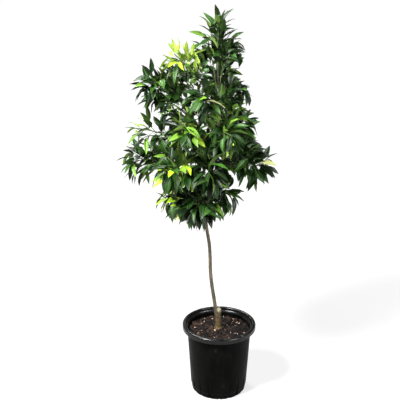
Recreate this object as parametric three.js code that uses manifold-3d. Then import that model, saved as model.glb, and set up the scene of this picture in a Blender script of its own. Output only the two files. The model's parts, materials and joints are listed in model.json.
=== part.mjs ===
// A mandarin orange tree in a black plastic nursery pot.
// Millimetres, +Z up. The origin is the centre of the pot's flat underside, and the tree's fullest
// side looks towards -Y. Bearings are degrees seen from above: 0 is +X, 90 is +Y, 180 is -X.

import * as THREE from "three";
import { mergeVertices } from "three/addons/utils/BufferGeometryUtils.js";
import Module from "manifold-3d";

const wasm = await Module();
wasm.setup();

// Driving dimensions of the pot
const pot = {
  height: 275,
  rimRadius: 140,
  rimWidth: 13,
  rimDepth: 19,
  rimRound: 5,
  rimBead: 3,
  rimDraft: 0.6,
  ledgeSlope: 3,
  ledgeHeight: 8,
  wall: 2.6,
  topRadius: 123,
  footRadius: 104,
  footHeight: 20,
  footFlare: 0.8,
  footStep: 2.5,
  stepHeight: 4,
  toe: 3,
  floor: 4,
  floorCorner: 4,
  turns: 36,
};
const flute = {
  count: 18,
  height: 84,
  width: 11,
  depth: 3.2,
  behind: 1,
  runOut: 0.4,
  beyond: 14,
  start: 10,
};
const drain = { every: 3, length: 40, height: 16, width: 8, lift: 5 };

// Driving dimensions of the potting mix
const soil = { level: 245, clearance: 0.3, edgeDrop: 4, flatRadius: 26 };
const chips = {
  count: 10,
  size: [11, 24],
  thickness: [4, 7],
  breadth: [0.45, 0.75],
  taper: 0.77,
  sides: 5,
  tilt: [-16, 16],
  proud: 0.2,
  fromTrunk: 38,
  fromEdge: 16,
  seed: 71,
};

// Driving dimensions of the trunk: its line from the soil to the tip of the leader, and its thickness
const trunk = {
  line: [
    [-2, 8, 245.3],
    [-15, 6, 340],
    [-32, 2, 464],
    [-38, 0, 590],
    [-53, 0, 700],
    [-48, 0, 800],
    [-27, 0, 900],
    [-14, 0, 1010],
    [-10, 0, 1130],
    [-12, 0, 1240],
  ],
  footRadius: 8.2,
  collar: 0.05,
  stemRadius: 7,
  crownHeight: 700,
  crownRadius: 6.2,
  tipRadius: 2.2,
  sides: 8,
  steps: 20,
};
// The rootstock's outline runs from the ground up, in shares of its radius and of its height: a flare
// at the ground, a slight waist, and the knob that has healed over the old cut
const rootstock = {
  radius: 10.5,
  height: 88,
  offset: -2,
  lean: 3,
  sides: 12,
  outline: [
    [1.48, 0],
    [1.17, 0.07],
    [1, 0.18],
    [0.92, 0.55],
    [1.04, 0.86],
    [0.78, 0.95],
    [0.3, 1],
  ],
};

// Driving dimensions of every shoot
const joint = { gap: 0.3, margin: 0.4, smallest: 0.02 };
const bough = { rootShare: 0.62, leastRoot: 2.1, rootOffset: 0.5, tipShare: 0.7, sides: 5, steps: 3 };
const shoot = { sides: 4, stepLength: 28, tipRadius: 1.7 };
const twig = {
  rootShare: 0.55,
  tipRadius: 0.9,
  sides: 3,
  steps: 2,
  from: 0.1,
  to: 0.9,
  spacing: 29.8,
  angle: [38, 58],
  wander: [-20, 20],
  lengthShare: [0.8, 1.15],
  shorter: 0.45,
  sag: [-30, -8],
  leastHang: 0.5,
  turns: [0, 60, -60, 120, -120],
};
const leaf = {
  length: [76, 110],
  widthShare: [0.34, 0.41],
  widest: 0.42,
  fold: 0.16,
  arch: 0.055,
  thickShare: 0.014,
  middle: 0.6,
  facing: 0.8,
  from: 0.1,
  spacing: 17,
  angle: [44, 68],
  least: 34,
  wander: [-25, 25],
  roll: [-50, 50],
  droop: [0.9, 0.35],
  turns: [0, 60, -60, 120, -120, 180],
  smaller: 0.76,
  tip: { share: 0.975, angle: [4, 14], hang: 0.5 },
};
const divergence = 137.5;

// The crown changes evenly from its lowest branches, the first number, to its highest, the second.
// bend is the change of slope along a branch, negative where it droops, and beyond is how far the
// branch runs on past its heart. hang is how far the leaves droop: 1 hangs down, 0 stands up.
const crown = {
  rootHeight: [700, 1130],
  heartHeight: [770, 1290],
  bend: [-58, -16],
  beyond: [44, 52],
  twigs: [80, 62],
  spread: [118, 88],
  hang: [1, 0],
  leafy: 105,
  bare: 26,
};

// The branches from the top down, leaving the trunk at even steps. The heart is the middle of the
// branch's own mass of leaves: reach is how far it stands out from the branch's root.
const branches = [
  { name: "top_right", bearing: 330, reach: 26, height: 1285, spread: 78 },
  { name: "top_back", bearing: 115, reach: 60, height: 1290 },
  { name: "top_left", bearing: 213, reach: 136, height: 1268, spread: 97, young: true },
  { name: "high_back", bearing: 85, reach: 112, height: 1190 },
  { name: "high_right", bearing: 0, reach: 44, height: 1160, spread: 86 },
  { name: "high_back_left", bearing: 145, reach: 155, height: 1200 },
  { name: "high_front", bearing: 250, reach: 120, height: 1150 },
  { name: "high_left", bearing: 184, reach: 196, height: 1176, spread: 116 },
  { name: "middle_right", bearing: 355, reach: 74, height: 1045, spread: 90 },
  { name: "middle_back_right", bearing: 75, reach: 140, height: 1060 },
  { name: "middle_front_right", bearing: 280, reach: 125, height: 1045 },
  { name: "middle_back_left", bearing: 135, reach: 175, height: 1065 },
  { name: "middle_front_left", bearing: 235, reach: 155, height: 1060 },
  { name: "middle_left", bearing: 190, reach: 226, height: 1036, twigSpacing: 46.5 },
  { name: "low_back", bearing: 100, reach: 140, height: 930 },
  { name: "low_right", bearing: 355, reach: 150, height: 910 },
  { name: "low_back_right", bearing: 45, reach: 150, height: 928 },
  { name: "low_front", bearing: 270, reach: 130, height: 915 },
  { name: "low_front_left", bearing: 225, reach: 150, height: 915 },
  { name: "low_back_left", bearing: 145, reach: 175, height: 925 },
  { name: "low_left", bearing: 180, reach: 222, height: 922 },
  { name: "skirt_right", bearing: 350, reach: 58, height: 796, spread: 104 },
  { name: "skirt_front", bearing: 255, reach: 78, height: 788 },
  { name: "skirt_left", bearing: 190, reach: 86, height: 785, spread: 108 },
  { name: "skirt_back", bearing: 105, reach: 85, height: 775 },
];
const leader = {
  name: "leader",
  bend: 3,
  length: 146,
  heartAt: 82,
  spread: 152,
  twigs: 58,
  twigSpacing: 20.5,
  hang: -0.4,
};
const firstSeed = 4100;

// Materials, one for each surface of the real object
const materials = {
  pot: new THREE.MeshStandardMaterial({ name: "black_plastic", color: 0x1d1e1c, roughness: 0.5 }),
  soil: new THREE.MeshStandardMaterial({ name: "bark_mix", color: 0x2e211c, roughness: 0.95 }),
  trunk: new THREE.MeshStandardMaterial({ name: "trunk_bark", color: 0x5d5844, roughness: 0.85 }),
  bough: new THREE.MeshStandardMaterial({ name: "green_bark", color: 0x55623a, roughness: 0.75 }),
  leaves: new THREE.MeshStandardMaterial({ name: "leaf", color: 0x2f5a1e, roughness: 0.45 }),
  youngLeaves: new THREE.MeshStandardMaterial({ name: "young_leaf", color: 0x9cbf2c, roughness: 0.5 }),
};

const UP = new THREE.Vector3(0, 0, 1);
const radians = THREE.MathUtils.degToRad;

// A closed three.js geometry as a solid that can be cut and joined
function solidOf(geometry) {
  const bare = new THREE.BufferGeometry().setAttribute("position", geometry.getAttribute("position"));
  bare.setIndex(geometry.getIndex());
  const merged = mergeVertices(bare, 1e-3);
  return solidFrom(merged.attributes.position.array, merged.index.array);
}

function solidFrom(points, faces) {
  return new wasm.Manifold(
    new wasm.Mesh({
      numProp: 3,
      vertProperties: Float32Array.from(points),
      triVerts: Uint32Array.from(faces),
    }),
  );
}

// The largest body of a solid, with the hollows that joining sealed filled, loose scraps dropped and
// needless points taken out
function onePiece(solid) {
  const bodies = solid.simplify(joint.smallest).decompose();
  return bodies.reduce((best, body) => (body.volume() > best.volume() ? body : best));
}

function meshOf(name, solid, material) {
  const made = solid.getMesh();
  const geometry = new THREE.BufferGeometry();
  geometry.setAttribute("position", new THREE.BufferAttribute(made.vertProperties, 3));
  geometry.setIndex(new THREE.BufferAttribute(made.triVerts, 1));
  geometry.computeVertexNormals();
  const mesh = new THREE.Mesh(geometry, material);
  mesh.name = name;
  return mesh;
}

// Repeatable random numbers from a whole-number seed, so that every build grows the same tree
function randomStream(seed) {
  let state = seed >>> 0;
  const next = () => {
    state = (state + 0x6d2b79f5) >>> 0;
    let t = Math.imul(state ^ (state >>> 15), state | 1);
    t ^= t + Math.imul(t ^ (t >>> 7), t | 61);
    return ((t ^ (t >>> 14)) >>> 0) / 4294967296;
  };
  return ([low, high]) => low + (high - low) * next();
}

// A shoot's line: an arc in an upright plane, whose slope changes evenly from rise by bend. An arc
// without a bend gets the least one, which nobody sees.
const leastBend = 0.01;
class Arc {
  constructor(start, bearing, rise, bend, length) {
    this.start = start.clone();
    this.bearing = radians(bearing);
    this.rise = radians(rise);
    this.curl = radians(Math.abs(bend) < leastBend ? leastBend : bend) / length;
    this.length = length;
  }
  at(distance) {
    const slope = this.rise + this.curl * distance;
    const out = (Math.sin(slope) - Math.sin(this.rise)) / this.curl;
    const up = (Math.cos(this.rise) - Math.cos(slope)) / this.curl;
    return this.start
      .clone()
      .add(new THREE.Vector3(out * Math.cos(this.bearing), out * Math.sin(this.bearing), up));
  }
  direction(distance) {
    const slope = this.rise + this.curl * distance;
    return new THREE.Vector3(
      Math.cos(slope) * Math.cos(this.bearing),
      Math.cos(slope) * Math.sin(this.bearing),
      Math.sin(slope),
    );
  }
  // The point on the axis of the solid that is made along the arc in straight steps
  onAxis(distance, steps) {
    const step = this.length / steps;
    const index = Math.min(Math.floor(distance / step), steps - 1);
    return this.at(index * step).lerp(this.at((index + 1) * step), distance / step - index);
  }
}

// The bearing and rise of a direction, in degrees
function anglesOf(direction) {
  const flat = Math.hypot(direction.x, direction.y);
  return {
    bearing: THREE.MathUtils.radToDeg(Math.atan2(direction.y, direction.x)),
    rise: THREE.MathUtils.radToDeg(Math.atan2(direction.z, flat)),
  };
}

// Two directions square to an axis: side lies level, and over points up as far as it can
function squareTo(axis) {
  const side = new THREE.Vector3().crossVectors(UP, axis);
  if (side.lengthSq() < 1e-6) side.set(1, 0, 0);
  side.normalize();
  return { side, over: new THREE.Vector3().crossVectors(axis, side) };
}

// A direction turned away from an axis by an angle, at a bearing round that axis
function turnedFrom(axis, angle, around) {
  const { side, over } = squareTo(axis);
  return axis
    .clone()
    .multiplyScalar(Math.cos(radians(angle)))
    .addScaledVector(side, Math.sin(radians(angle)) * Math.cos(radians(around)))
    .addScaledVector(over, Math.sin(radians(angle)) * Math.sin(radians(around)))
    .normalize();
}

// A round limb along a line: a closed cylinder whose rings are moved onto the line. Every ring starts
// from the same sideways direction, so that the limb doesn't twist.
function limb(line, length, sideways, radiusAt, sides, steps) {
  const geometry = new THREE.CylinderGeometry(1, 1, 1, sides, steps);
  const position = geometry.getAttribute("position");
  const ring = new THREE.Vector3();
  for (let i = 0; i < position.count; i++) {
    ring.fromBufferAttribute(position, i);
    const distance = (ring.y + 0.5) * length;
    const axis = line.direction(distance);
    const side = sideways.clone().addScaledVector(axis, -sideways.dot(axis)).normalize();
    const over = new THREE.Vector3().crossVectors(axis, side);
    const radius = radiusAt(distance / length);
    const point = line
      .at(distance)
      .addScaledVector(side, ring.x * radius)
      .addScaledVector(over, -ring.z * radius);
    position.setXYZ(i, point.x, point.y, point.z);
  }
  return solidOf(geometry);
}

function arcLimb(arc, rootRadius, tipRadius, sides, steps, grow = 0) {
  const sideways = new THREE.Vector3(-Math.sin(arc.bearing), Math.cos(arc.bearing), 0);
  const radiusAt = (share) => THREE.MathUtils.lerp(rootRadius, tipRadius, share) + grow;
  return limb(arc, arc.length, sideways, radiusAt, sides, steps);
}

// The pot: a tapered tub with a rolled rim, a stepped foot, flutes round the foot and drain slots
function wallRadius(height) {
  return THREE.MathUtils.mapLinear(height, 0, pot.height, pot.footRadius + pot.footStep, pot.topRadius);
}

function turned(profile) {
  const closed = [...profile, profile[0]].map(([r, z]) => new THREE.Vector2(r, z));
  const geometry = new THREE.LatheGeometry(closed, pot.turns, Math.PI / pot.turns);
  geometry.rotateX(Math.PI / 2);
  const solid = solidOf(geometry);
  if (solid.volume() > 0) return solid;
  throw new Error("a turned profile runs the wrong way");
}

function potOutside() {
  const under = pot.height - pot.rimDepth;
  const round = pot.rimRound;
  const lip = [0, 45, 90].map((angle) => [
    pot.rimRadius - round + round * Math.cos(radians(angle)),
    pot.height - round + round * Math.sin(radians(angle)),
  ]);
  const step = pot.footHeight + pot.stepHeight;
  return turned([
    [0, 0],
    [pot.footRadius - pot.toe, 0],
    [pot.footRadius, pot.toe + 1],
    [pot.footRadius + pot.footFlare, pot.footHeight],
    [wallRadius(step), step],
    [wallRadius(under), under],
    [pot.rimRadius - pot.rimBead, under],
    [pot.rimRadius - pot.rimDraft, under + pot.rimBead],
    ...lip,
    [0, pot.height],
  ]);
}

function potHollow() {
  const inner = (height) => wallRadius(height) - pot.wall;
  const mouth = pot.rimRadius - pot.rimWidth;
  const ledge = pot.height - pot.rimDepth + pot.wall;
  const behindFlutes = inner(0) - pot.footStep - flute.depth;
  return turned([
    [0, pot.floor],
    [behindFlutes - pot.floorCorner / 2, pot.floor],
    [behindFlutes, pot.floor + pot.floorCorner],
    [inner(flute.height) - flute.behind, flute.height],
    [inner(ledge), ledge],
    [mouth - pot.ledgeSlope, ledge + pot.ledgeSlope],
    [mouth, ledge + pot.ledgeHeight],
    [mouth, pot.height + 1],
    [0, pot.height + 1],
  ]);
}

// One upright flute, deepest at the foot and running out at the top
function wedge() {
  const outline = new THREE.Shape();
  outline.moveTo(wallRadius(0) - pot.footStep - flute.depth, -1);
  outline.lineTo(wallRadius(0) + flute.beyond, -1);
  outline.lineTo(wallRadius(flute.height) + flute.beyond, flute.height);
  outline.lineTo(wallRadius(flute.height) + flute.runOut, flute.height);
  outline.closePath();
  const geometry = new THREE.ExtrudeGeometry(outline, { depth: flute.width, bevelEnabled: false });
  geometry.translate(0, 0, -flute.width / 2);
  geometry.rotateX(Math.PI / 2);
  return geometry;
}

function roundThePot(count, geometryAt) {
  const solids = Array.from({ length: count }, (_, i) => {
    const geometry = geometryAt(i);
    geometry.rotateZ((i / count) * 2 * Math.PI + radians(flute.start));
    return solidOf(geometry);
  });
  return wasm.Manifold.union(solids);
}

function drainSlots() {
  return roundThePot(flute.count / drain.every, () => {
    const slot = new THREE.BoxGeometry(drain.length, drain.width, drain.height);
    slot.translate(pot.footRadius, 0, drain.lift + drain.height / 2);
    return slot;
  });
}

function makePot() {
  const fluted = potOutside().subtract(roundThePot(flute.count, wedge));
  return onePiece(fluted.subtract(potHollow()).subtract(drainSlots()));
}

// The potting mix: a plug that fills the pot, dished a little, with flakes of bark lying in its top
function flake(between, index) {
  const radius = between(chips.size) / 2;
  const thickness = between(chips.thickness);
  const geometry = new THREE.CylinderGeometry(radius, radius * chips.taper, thickness, chips.sides, 1);
  geometry.scale(1, 1, between(chips.breadth));
  geometry.rotateX(Math.PI / 2 + radians(between(chips.tilt)));
  geometry.rotateZ(radians(between([0, 360])));
  const most = wallRadius(soil.level) - pot.wall - chips.fromEdge;
  const from = Math.sqrt(between([chips.fromTrunk ** 2, most ** 2]));
  const bearing = radians(index * divergence);
  const height = soil.level + thickness * chips.proud;
  geometry.translate(from * Math.cos(bearing), from * Math.sin(bearing), height);
  return geometry;
}

function makeSoil() {
  const clear = soil.clearance;
  const inner = (height) => wallRadius(height) - pot.wall - clear;
  const low = inner(0) - pot.footStep - flute.depth;
  const edge = soil.level - soil.edgeDrop;
  const corner = pot.floorCorner + 1;
  const plug = turned([
    [0, pot.floor + clear],
    [low - corner / 2, pot.floor + clear],
    [low, pot.floor + corner],
    [inner(flute.height) - flute.behind, flute.height],
    [inner(edge), edge],
    [soil.flatRadius, soil.level],
    [0, soil.level],
  ]);
  const between = randomStream(chips.seed);
  const flakes = Array.from({ length: chips.count }, (_, i) => solidOf(flake(between, i)));
  return onePiece(wasm.Manifold.union([plug, ...flakes]));
}

// The trunk: the grafted stem, and the short rootstock that it grows out of
const trunkLine = new THREE.CatmullRomCurve3(
  trunk.line.map((point) => new THREE.Vector3(...point)),
  false,
  "centripetal",
);

// The share of the trunk's length at which it reaches a height, found by halving
function trunkShareAt(height) {
  const halvings = 30;
  let [low, high] = [0, 1];
  for (let i = 0; i < halvings; i++) {
    const middle = (low + high) / 2;
    if (trunkLine.getPointAt(middle).z < height) low = middle;
    else high = middle;
  }
  return low;
}

function trunkRadius(share) {
  const { footRadius, collar, stemRadius, crownRadius, tipRadius } = trunk;
  const { mapLinear } = THREE.MathUtils;
  const crownShare = trunkShareAt(trunk.crownHeight);
  if (share < collar) return mapLinear(share, 0, collar, footRadius, stemRadius);
  if (share < crownShare) return mapLinear(share, collar, crownShare, stemRadius, crownRadius);
  return mapLinear(share, crownShare, 1, crownRadius, tipRadius);
}

function makeStem(grow = 0) {
  const length = trunkLine.getLength();
  const line = {
    at: (distance) => trunkLine.getPointAt(distance / length),
    direction: (distance) => trunkLine.getTangentAt(distance / length),
  };
  const radiusAt = (share) => trunkRadius(share) + grow;
  return limb(line, length, new THREE.Vector3(1, 0, 0), radiusAt, trunk.sides, trunk.steps);
}

function makeRootstock(grow = 0) {
  const [footX, footY, ground] = trunk.line[0];
  const { radius, height, offset, lean, sides, outline } = rootstock;
  const bark = outline.map(([r, z]) => new THREE.Vector2(r * radius + grow, z * height));
  const middle = [new THREE.Vector2(0, height), new THREE.Vector2(0, 0)];
  const column = new THREE.LatheGeometry([middle[1], ...bark, ...middle], sides);
  column.rotateX(Math.PI / 2);
  const position = column.getAttribute("position");
  for (let i = 0; i < position.count; i++) {
    const up = position.getZ(i) / height;
    position.setX(i, position.getX(i) + lean * up);
  }
  column.translate(footX + offset, footY, ground);
  return solidOf(column);
}

// The flat cut at ground level: everything of the trunk below it is taken away
function cutAtGround(solid) {
  const block = 100;
  const below = new THREE.BoxGeometry(block, block, block);
  below.translate(0, 0, trunk.line[0][2] - block / 2);
  return solid.subtract(solidOf(below));
}

function makeTrunk(grow = 0) {
  return onePiece(cutAtGround(makeStem(grow).add(makeRootstock(grow))));
}

// The habit of a branch, from how high in the crown its heart stands
function habitAt(height) {
  const share = THREE.MathUtils.inverseLerp(...crown.heartHeight, height);
  const at = (range) => THREE.MathUtils.lerp(...range, share);
  return {
    bend: at(crown.bend),
    beyond: at(crown.beyond),
    twigs: at(crown.twigs),
    spread: at(crown.spread),
    hang: at(crown.hang),
  };
}

// A branch's line starts inside the trunk, on the branch's own side of it, bends evenly to its heart
// and runs on in the same curve
function branchArc({ rootHeight, bearing, reach, height, bend, beyond }) {
  const rise = height - rootHeight;
  const slope = THREE.MathUtils.radToDeg(Math.atan2(rise, reach));
  const half = radians(Math.abs(bend)) / 2;
  const toHeart = (Math.hypot(rise, reach) * half) / Math.sin(half);
  const share = trunkShareAt(rootHeight);
  const outward = new THREE.Vector3(Math.cos(radians(bearing)), Math.sin(radians(bearing)), 0);
  const root = trunkLine.getPointAt(share).addScaledVector(outward, trunkRadius(share) * bough.rootOffset);
  const length = toHeart + beyond;
  return { toHeart, arc: new Arc(root, bearing, slope - bend / 2, (bend * length) / toHeart, length) };
}

// The stretch of an arc from one distance to another
function stretch(arc, from, to) {
  const { bearing, rise } = anglesOf(arc.direction(from));
  const bend = THREE.MathUtils.radToDeg(arc.curl) * (to - from);
  return new Arc(arc.at(from), bearing, rise, bend, to - from);
}

// How far along its line a branch enters its own space and begins to be leafy
function entryInto(space, { arc, toHeart }) {
  const first = Math.max(crown.bare, toHeart - crown.leafy);
  const step = 2;
  let entry = toHeart;
  while (entry > first && space.holds([arc.at(entry - step)])) entry -= step;
  return entry;
}

// One leaf: a folded, arched blade of eight faces whose foot is sunk in its twig
function leafPoints(root, direction, length, width, roll) {
  const facing = new THREE.Vector3(direction.x * leaf.facing, direction.y * leaf.facing, 1);
  const over = facing.addScaledVector(direction, -facing.dot(direction)).normalize();
  over.applyAxisAngle(direction, radians(roll));
  const side = new THREE.Vector3().crossVectors(direction, over);
  const thick = length * leaf.thickShare;
  const place = (along, across, up) =>
    root
      .clone()
      .addScaledVector(direction, along)
      .addScaledVector(side, across)
      .addScaledVector(over, up);
  const widest = leaf.widest * length;
  const arch = leaf.arch * length;
  const fold = (leaf.fold * width) / 2;
  return [
    place(0, 0, 0),
    place(widest, width / 2, arch + fold),
    place(widest, -width / 2, arch + fold),
    place(widest, 0, arch + thick / 2),
    place(widest, 0, arch - thick / 2),
    place(length, 0, -arch),
  ];
}
const leafFaces = [
  [0, 1, 3],
  [1, 5, 3],
  [5, 2, 3],
  [2, 0, 3],
  [0, 4, 1],
  [1, 4, 5],
  [5, 4, 2],
  [2, 4, 0],
];

// Each spray keeps to its own space: a ball round its heart, less what is nearer to another's heart
class Space {
  constructor(heart, spread, others) {
    this.heart = heart;
    this.spread = spread;
    this.walls = others.map((other) => {
      const normal = other.clone().sub(heart).normalize();
      const middle = other.clone().add(heart).multiplyScalar(0.5);
      return { normal, limit: normal.dot(middle) - joint.margin };
    });
  }
  holds(points) {
    if (points.some((point) => point.distanceTo(this.heart) > this.spread)) return false;
    return this.walls.every(({ normal, limit }) => points.every((point) => normal.dot(point) < limit));
  }
}

// A solid with its box, so that solids far apart are told from their boxes alone
function boxed(solid) {
  return { solid, box: solid.boundingBox() };
}

function overlaps(a, b) {
  const apart = [0, 1, 2].some((i) => a.box.max[i] < b.box.min[i] || b.box.max[i] < a.box.min[i]);
  return !apart && a.solid.intersect(b.solid).volume() > 0;
}

// The side twigs of a spray, at even steps along its main shoot
function growTwigs(spray, limbs, between) {
  const twigs = [];
  const leafy = spray.line.length * (twig.to - twig.from);
  const count = Math.floor(leafy / (spray.twigSpacing ?? twig.spacing));
  for (let i = 0; i < count; i++) {
    const share = THREE.MathUtils.lerp(twig.from, twig.to, i / count);
    const start = spray.line.onAxis(spray.line.length * share, spray.steps);
    const forward = spray.line.direction(spray.line.length * share);
    const radius = THREE.MathUtils.lerp(spray.rootRadius, shoot.tipRadius, share) * twig.rootShare;
    const angle = between(twig.angle);
    const around = i * divergence + between(twig.wander);
    const length = spray.twigs * (1 - twig.shorter * share) * between(twig.lengthShare);
    const sag = between(twig.sag) * (twig.leastHang + spray.hang);
    for (const turn of twig.turns) {
      const { bearing, rise } = anglesOf(turnedFrom(forward, angle, around + turn));
      const line = new Arc(start, bearing, rise, sag, length);
      if (!spray.space.holds([line.at(0), line.at(length / 2), line.at(length)])) continue;
      const grown = boxed(arcLimb(line, radius, twig.tipRadius, twig.sides, twig.steps));
      if (limbs.some((one) => overlaps(one, grown))) continue;
      twigs.push({ line, steps: twig.steps, ...grown });
      break;
    }
  }
  return twigs;
}

// The way a leaf points: away from its twig, drooping by the spray's hang, but never along the twig
function leafDirection(forward, angle, around, hang) {
  const direction = turnedFrom(forward, angle, around);
  const [droop, easing] = leaf.droop;
  direction.z -= hang * (droop - easing * direction.z);
  direction.normalize();
  const between = direction.angleTo(forward);
  const least = radians(leaf.least);
  if (between > least || angle < leaf.least) return direction;
  const axis = new THREE.Vector3().crossVectors(forward, direction).normalize();
  return direction.applyAxisAngle(axis, least - between);
}

// The leaves of one shoot: set along it, with one that carries on from its tip. Each leaf tries
// several turns round the shoot and takes the one that stands farthest from the other leaves. Where
// it has no room it tries again as a smaller leaf.
function growLeaves(spray, shootOn, others, leaves, between) {
  const { line, steps } = shootOn;
  const count = Math.max(2, Math.round(line.length / leaf.spacing));
  for (let i = 0; i <= count; i++) {
    const last = i === count;
    const share = last ? leaf.tip.share : THREE.MathUtils.lerp(leaf.from, 1, (i + 0.5) / count);
    const root = line.onAxis(line.length * share, steps);
    const forward = line.direction(line.length * share);
    const around = i * divergence + between(leaf.wander);
    const angle = between(last ? leaf.tip.angle : leaf.angle);
    const hang = last ? spray.hang * leaf.tip.hang : spray.hang;
    const full = between(leaf.length);
    const widthShare = between(leaf.widthShare);
    const roll = between(leaf.roll);
    let best;
    for (const length of [full, full * leaf.smaller]) {
      for (const turn of leaf.turns) {
        const direction = leafDirection(forward, angle, around + turn, hang);
        const points = leafPoints(root, direction, length, length * widthShare, roll);
        if (!spray.space.holds(points)) continue;
        const grown = boxed(solidFrom(points.flatMap((p) => p.toArray()), leafFaces.flat()));
        if (others.some((one) => one !== shootOn && overlaps(one, grown))) continue;
        if (leaves.some((one) => overlaps(one, grown))) continue;
        const middle = root.clone().addScaledVector(direction, length * leaf.middle);
        const clear = Math.min(...leaves.map((one) => one.middle.distanceTo(middle)));
        if (!best || clear > best.clear) best = { ...grown, middle, clear };
      }
      if (best) break;
    }
    if (best) leaves.push(best);
  }
}

// Grows one spray: its main shoot, side twigs at steps along it, and leaves on all of them
function growSpray(spray, limbs, seed) {
  const between = randomStream(seed);
  spray.steps = Math.max(2, Math.round(spray.line.length / shoot.stepLength));
  const stem = arcLimb(spray.line, spray.rootRadius, shoot.tipRadius, shoot.sides, spray.steps);
  const main = { line: spray.line, steps: spray.steps, ...boxed(stem) };
  const shoots = [main, ...growTwigs(spray, limbs, between)];
  const leaves = [];
  for (const one of shoots) growLeaves(spray, one, [...limbs, ...shoots], leaves, between);
  return onePiece(wasm.Manifold.union([...shoots, ...leaves].map((one) => one.solid)));
}

// Everything together
const tree = new THREE.Group();
tree.name = "potted_mandarin_tree";
tree.add(meshOf("pot", makePot(), materials.pot));
tree.add(meshOf("potting_mix", makeSoil(), materials.soil));
tree.add(meshOf("trunk", makeTrunk(), materials.trunk));

// Where every branch and its heart are, and the leader that goes on from the trunk's tip
branches.forEach((one, index) => {
  one.rootHeight = THREE.MathUtils.lerp(...crown.rootHeight, 1 - index / (branches.length - 1));
  Object.assign(one, { ...habitAt(one.height), ...one });
  Object.assign(one, branchArc(one));
  one.heart = one.arc.at(one.toHeart);
});
const { bearing: leaderBearing, rise: leaderRise } = anglesOf(trunkLine.getTangentAt(1));
const leaderStart = trunkLine.getPointAt(1).addScaledVector(trunkLine.getTangentAt(1), joint.gap);
leader.line = new Arc(leaderStart, leaderBearing, leaderRise, leader.bend, leader.length);
leader.rootRadius = trunk.tipRadius;
leader.heart = leader.line.at(leader.heartAt);

const sprays = [leader, ...branches];
for (const one of sprays) {
  const others = sprays.filter((other) => other !== one).map((other) => other.heart);
  one.space = new Space(one.heart, one.spread, others);
}

// Each branch is a bough as far as its own space, and a leafy spray beyond
const clearTrunk = makeTrunk(joint.gap);
const limbs = [boxed(makeTrunk(joint.gap * 2))];
for (const one of branches) {
  const entry = entryInto(one.space, one);
  const stem = trunkRadius(trunkShareAt(one.rootHeight));
  const rootRadius = Math.max(stem * bough.rootShare, bough.leastRoot);
  one.rootRadius = rootRadius * bough.tipShare;
  const bare = stretch(one.arc, 0, entry);
  one.line = stretch(one.arc, entry + joint.gap, one.arc.length);
  const solid = arcLimb(bare, rootRadius, one.rootRadius, bough.sides, bough.steps);
  tree.add(meshOf(`bough_${one.name}`, onePiece(solid.subtract(clearTrunk)), materials.bough));
  limbs.push(boxed(arcLimb(bare, rootRadius, one.rootRadius, bough.sides, bough.steps, joint.gap * 2)));
}

sprays.forEach((one, index) => {
  const material = one.young ? materials.youngLeaves : materials.leaves;
  tree.add(meshOf(`foliage_${one.name}`, growSpray(one, limbs, firstSeed + index), material));
});

export default tree;
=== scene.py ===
"""A mandarin orange tree in a black plastic nursery pot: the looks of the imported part.

Sizes in the classes are in millimetres and angles in degrees, as in the part's source. Meshes are made
in metres, +Z up. Bearings are seen from above: 0 is +X, 90 is +Y, 180 is -X.
"""

from __future__ import annotations

import json
import logging
import math
from dataclasses import dataclass, field, replace
from enum import Enum
from functools import cached_property, partial
from itertools import accumulate
from typing import Callable, Iterable, Iterator, Sequence

import bpy
import numpy as np
from bpy.types import Collection, Material, Mesh, Node, NodeSocket, NodeTree, Object, World
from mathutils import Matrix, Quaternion, Vector, noise
from mathutils.bvhtree import BVHTree

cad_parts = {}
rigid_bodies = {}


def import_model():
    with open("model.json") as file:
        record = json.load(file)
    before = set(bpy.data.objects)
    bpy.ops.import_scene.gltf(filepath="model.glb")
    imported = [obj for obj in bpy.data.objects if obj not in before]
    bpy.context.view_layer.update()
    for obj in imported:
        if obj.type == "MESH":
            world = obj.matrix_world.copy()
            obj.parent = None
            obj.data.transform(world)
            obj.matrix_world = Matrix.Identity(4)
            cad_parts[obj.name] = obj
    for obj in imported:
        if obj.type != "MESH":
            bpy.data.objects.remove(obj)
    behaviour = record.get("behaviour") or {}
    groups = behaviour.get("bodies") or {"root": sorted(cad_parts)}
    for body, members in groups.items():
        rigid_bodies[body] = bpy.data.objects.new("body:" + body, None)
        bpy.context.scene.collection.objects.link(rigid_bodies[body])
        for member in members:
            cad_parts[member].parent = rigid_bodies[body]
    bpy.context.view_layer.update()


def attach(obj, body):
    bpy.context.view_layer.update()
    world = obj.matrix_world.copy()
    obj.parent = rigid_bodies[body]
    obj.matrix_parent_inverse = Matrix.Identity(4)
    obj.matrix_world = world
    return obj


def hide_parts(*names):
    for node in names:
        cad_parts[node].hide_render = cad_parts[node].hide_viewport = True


LOG = logging.getLogger("potted_mandarin_tree")
MM = 0.001
UP = Vector((0.0, 0.0, 1.0))
EAST = Vector((1.0, 0.0, 0.0))
BODY = "root"
# How much farther round its shoot each leaf or twig stands than the one before it
DIVERGENCE = 137.5
SMALLEST = 1e-6
Range = tuple[float, float]
Place = tuple[float, float, float]
Face = tuple[int, ...]
Values = float | np.ndarray
Inputs = dict[str | int, object]
AddNode = Callable[..., Node]


def lerp(low_high: Range, share: Values) -> Values:
    """Goes from the first value of a range to the second by a share."""
    return low_high[0] + (low_high[1] - low_high[0]) * share


def linear(colour: str) -> tuple[float, float, float, float]:
    """Turns an sRGB hex colour to the linear one that a shader takes, with an alpha of one."""
    parts = [int(colour[i : i + 2], 16) / 255 for i in (1, 3, 5)]
    return (*(c / 12.92 if c <= 0.04045 else ((c + 0.055) / 1.055) ** 2.4 for c in parts), 1.0)


def shaded(colour: str, share: float) -> str:
    """Scales a hex colour's three parts by a share, and keeps each within its range."""
    parts = [min(255, round(int(colour[i : i + 2], 16) * share)) for i in (1, 3, 5)]
    return "#" + "".join(f"{part:02x}" for part in parts)


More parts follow.
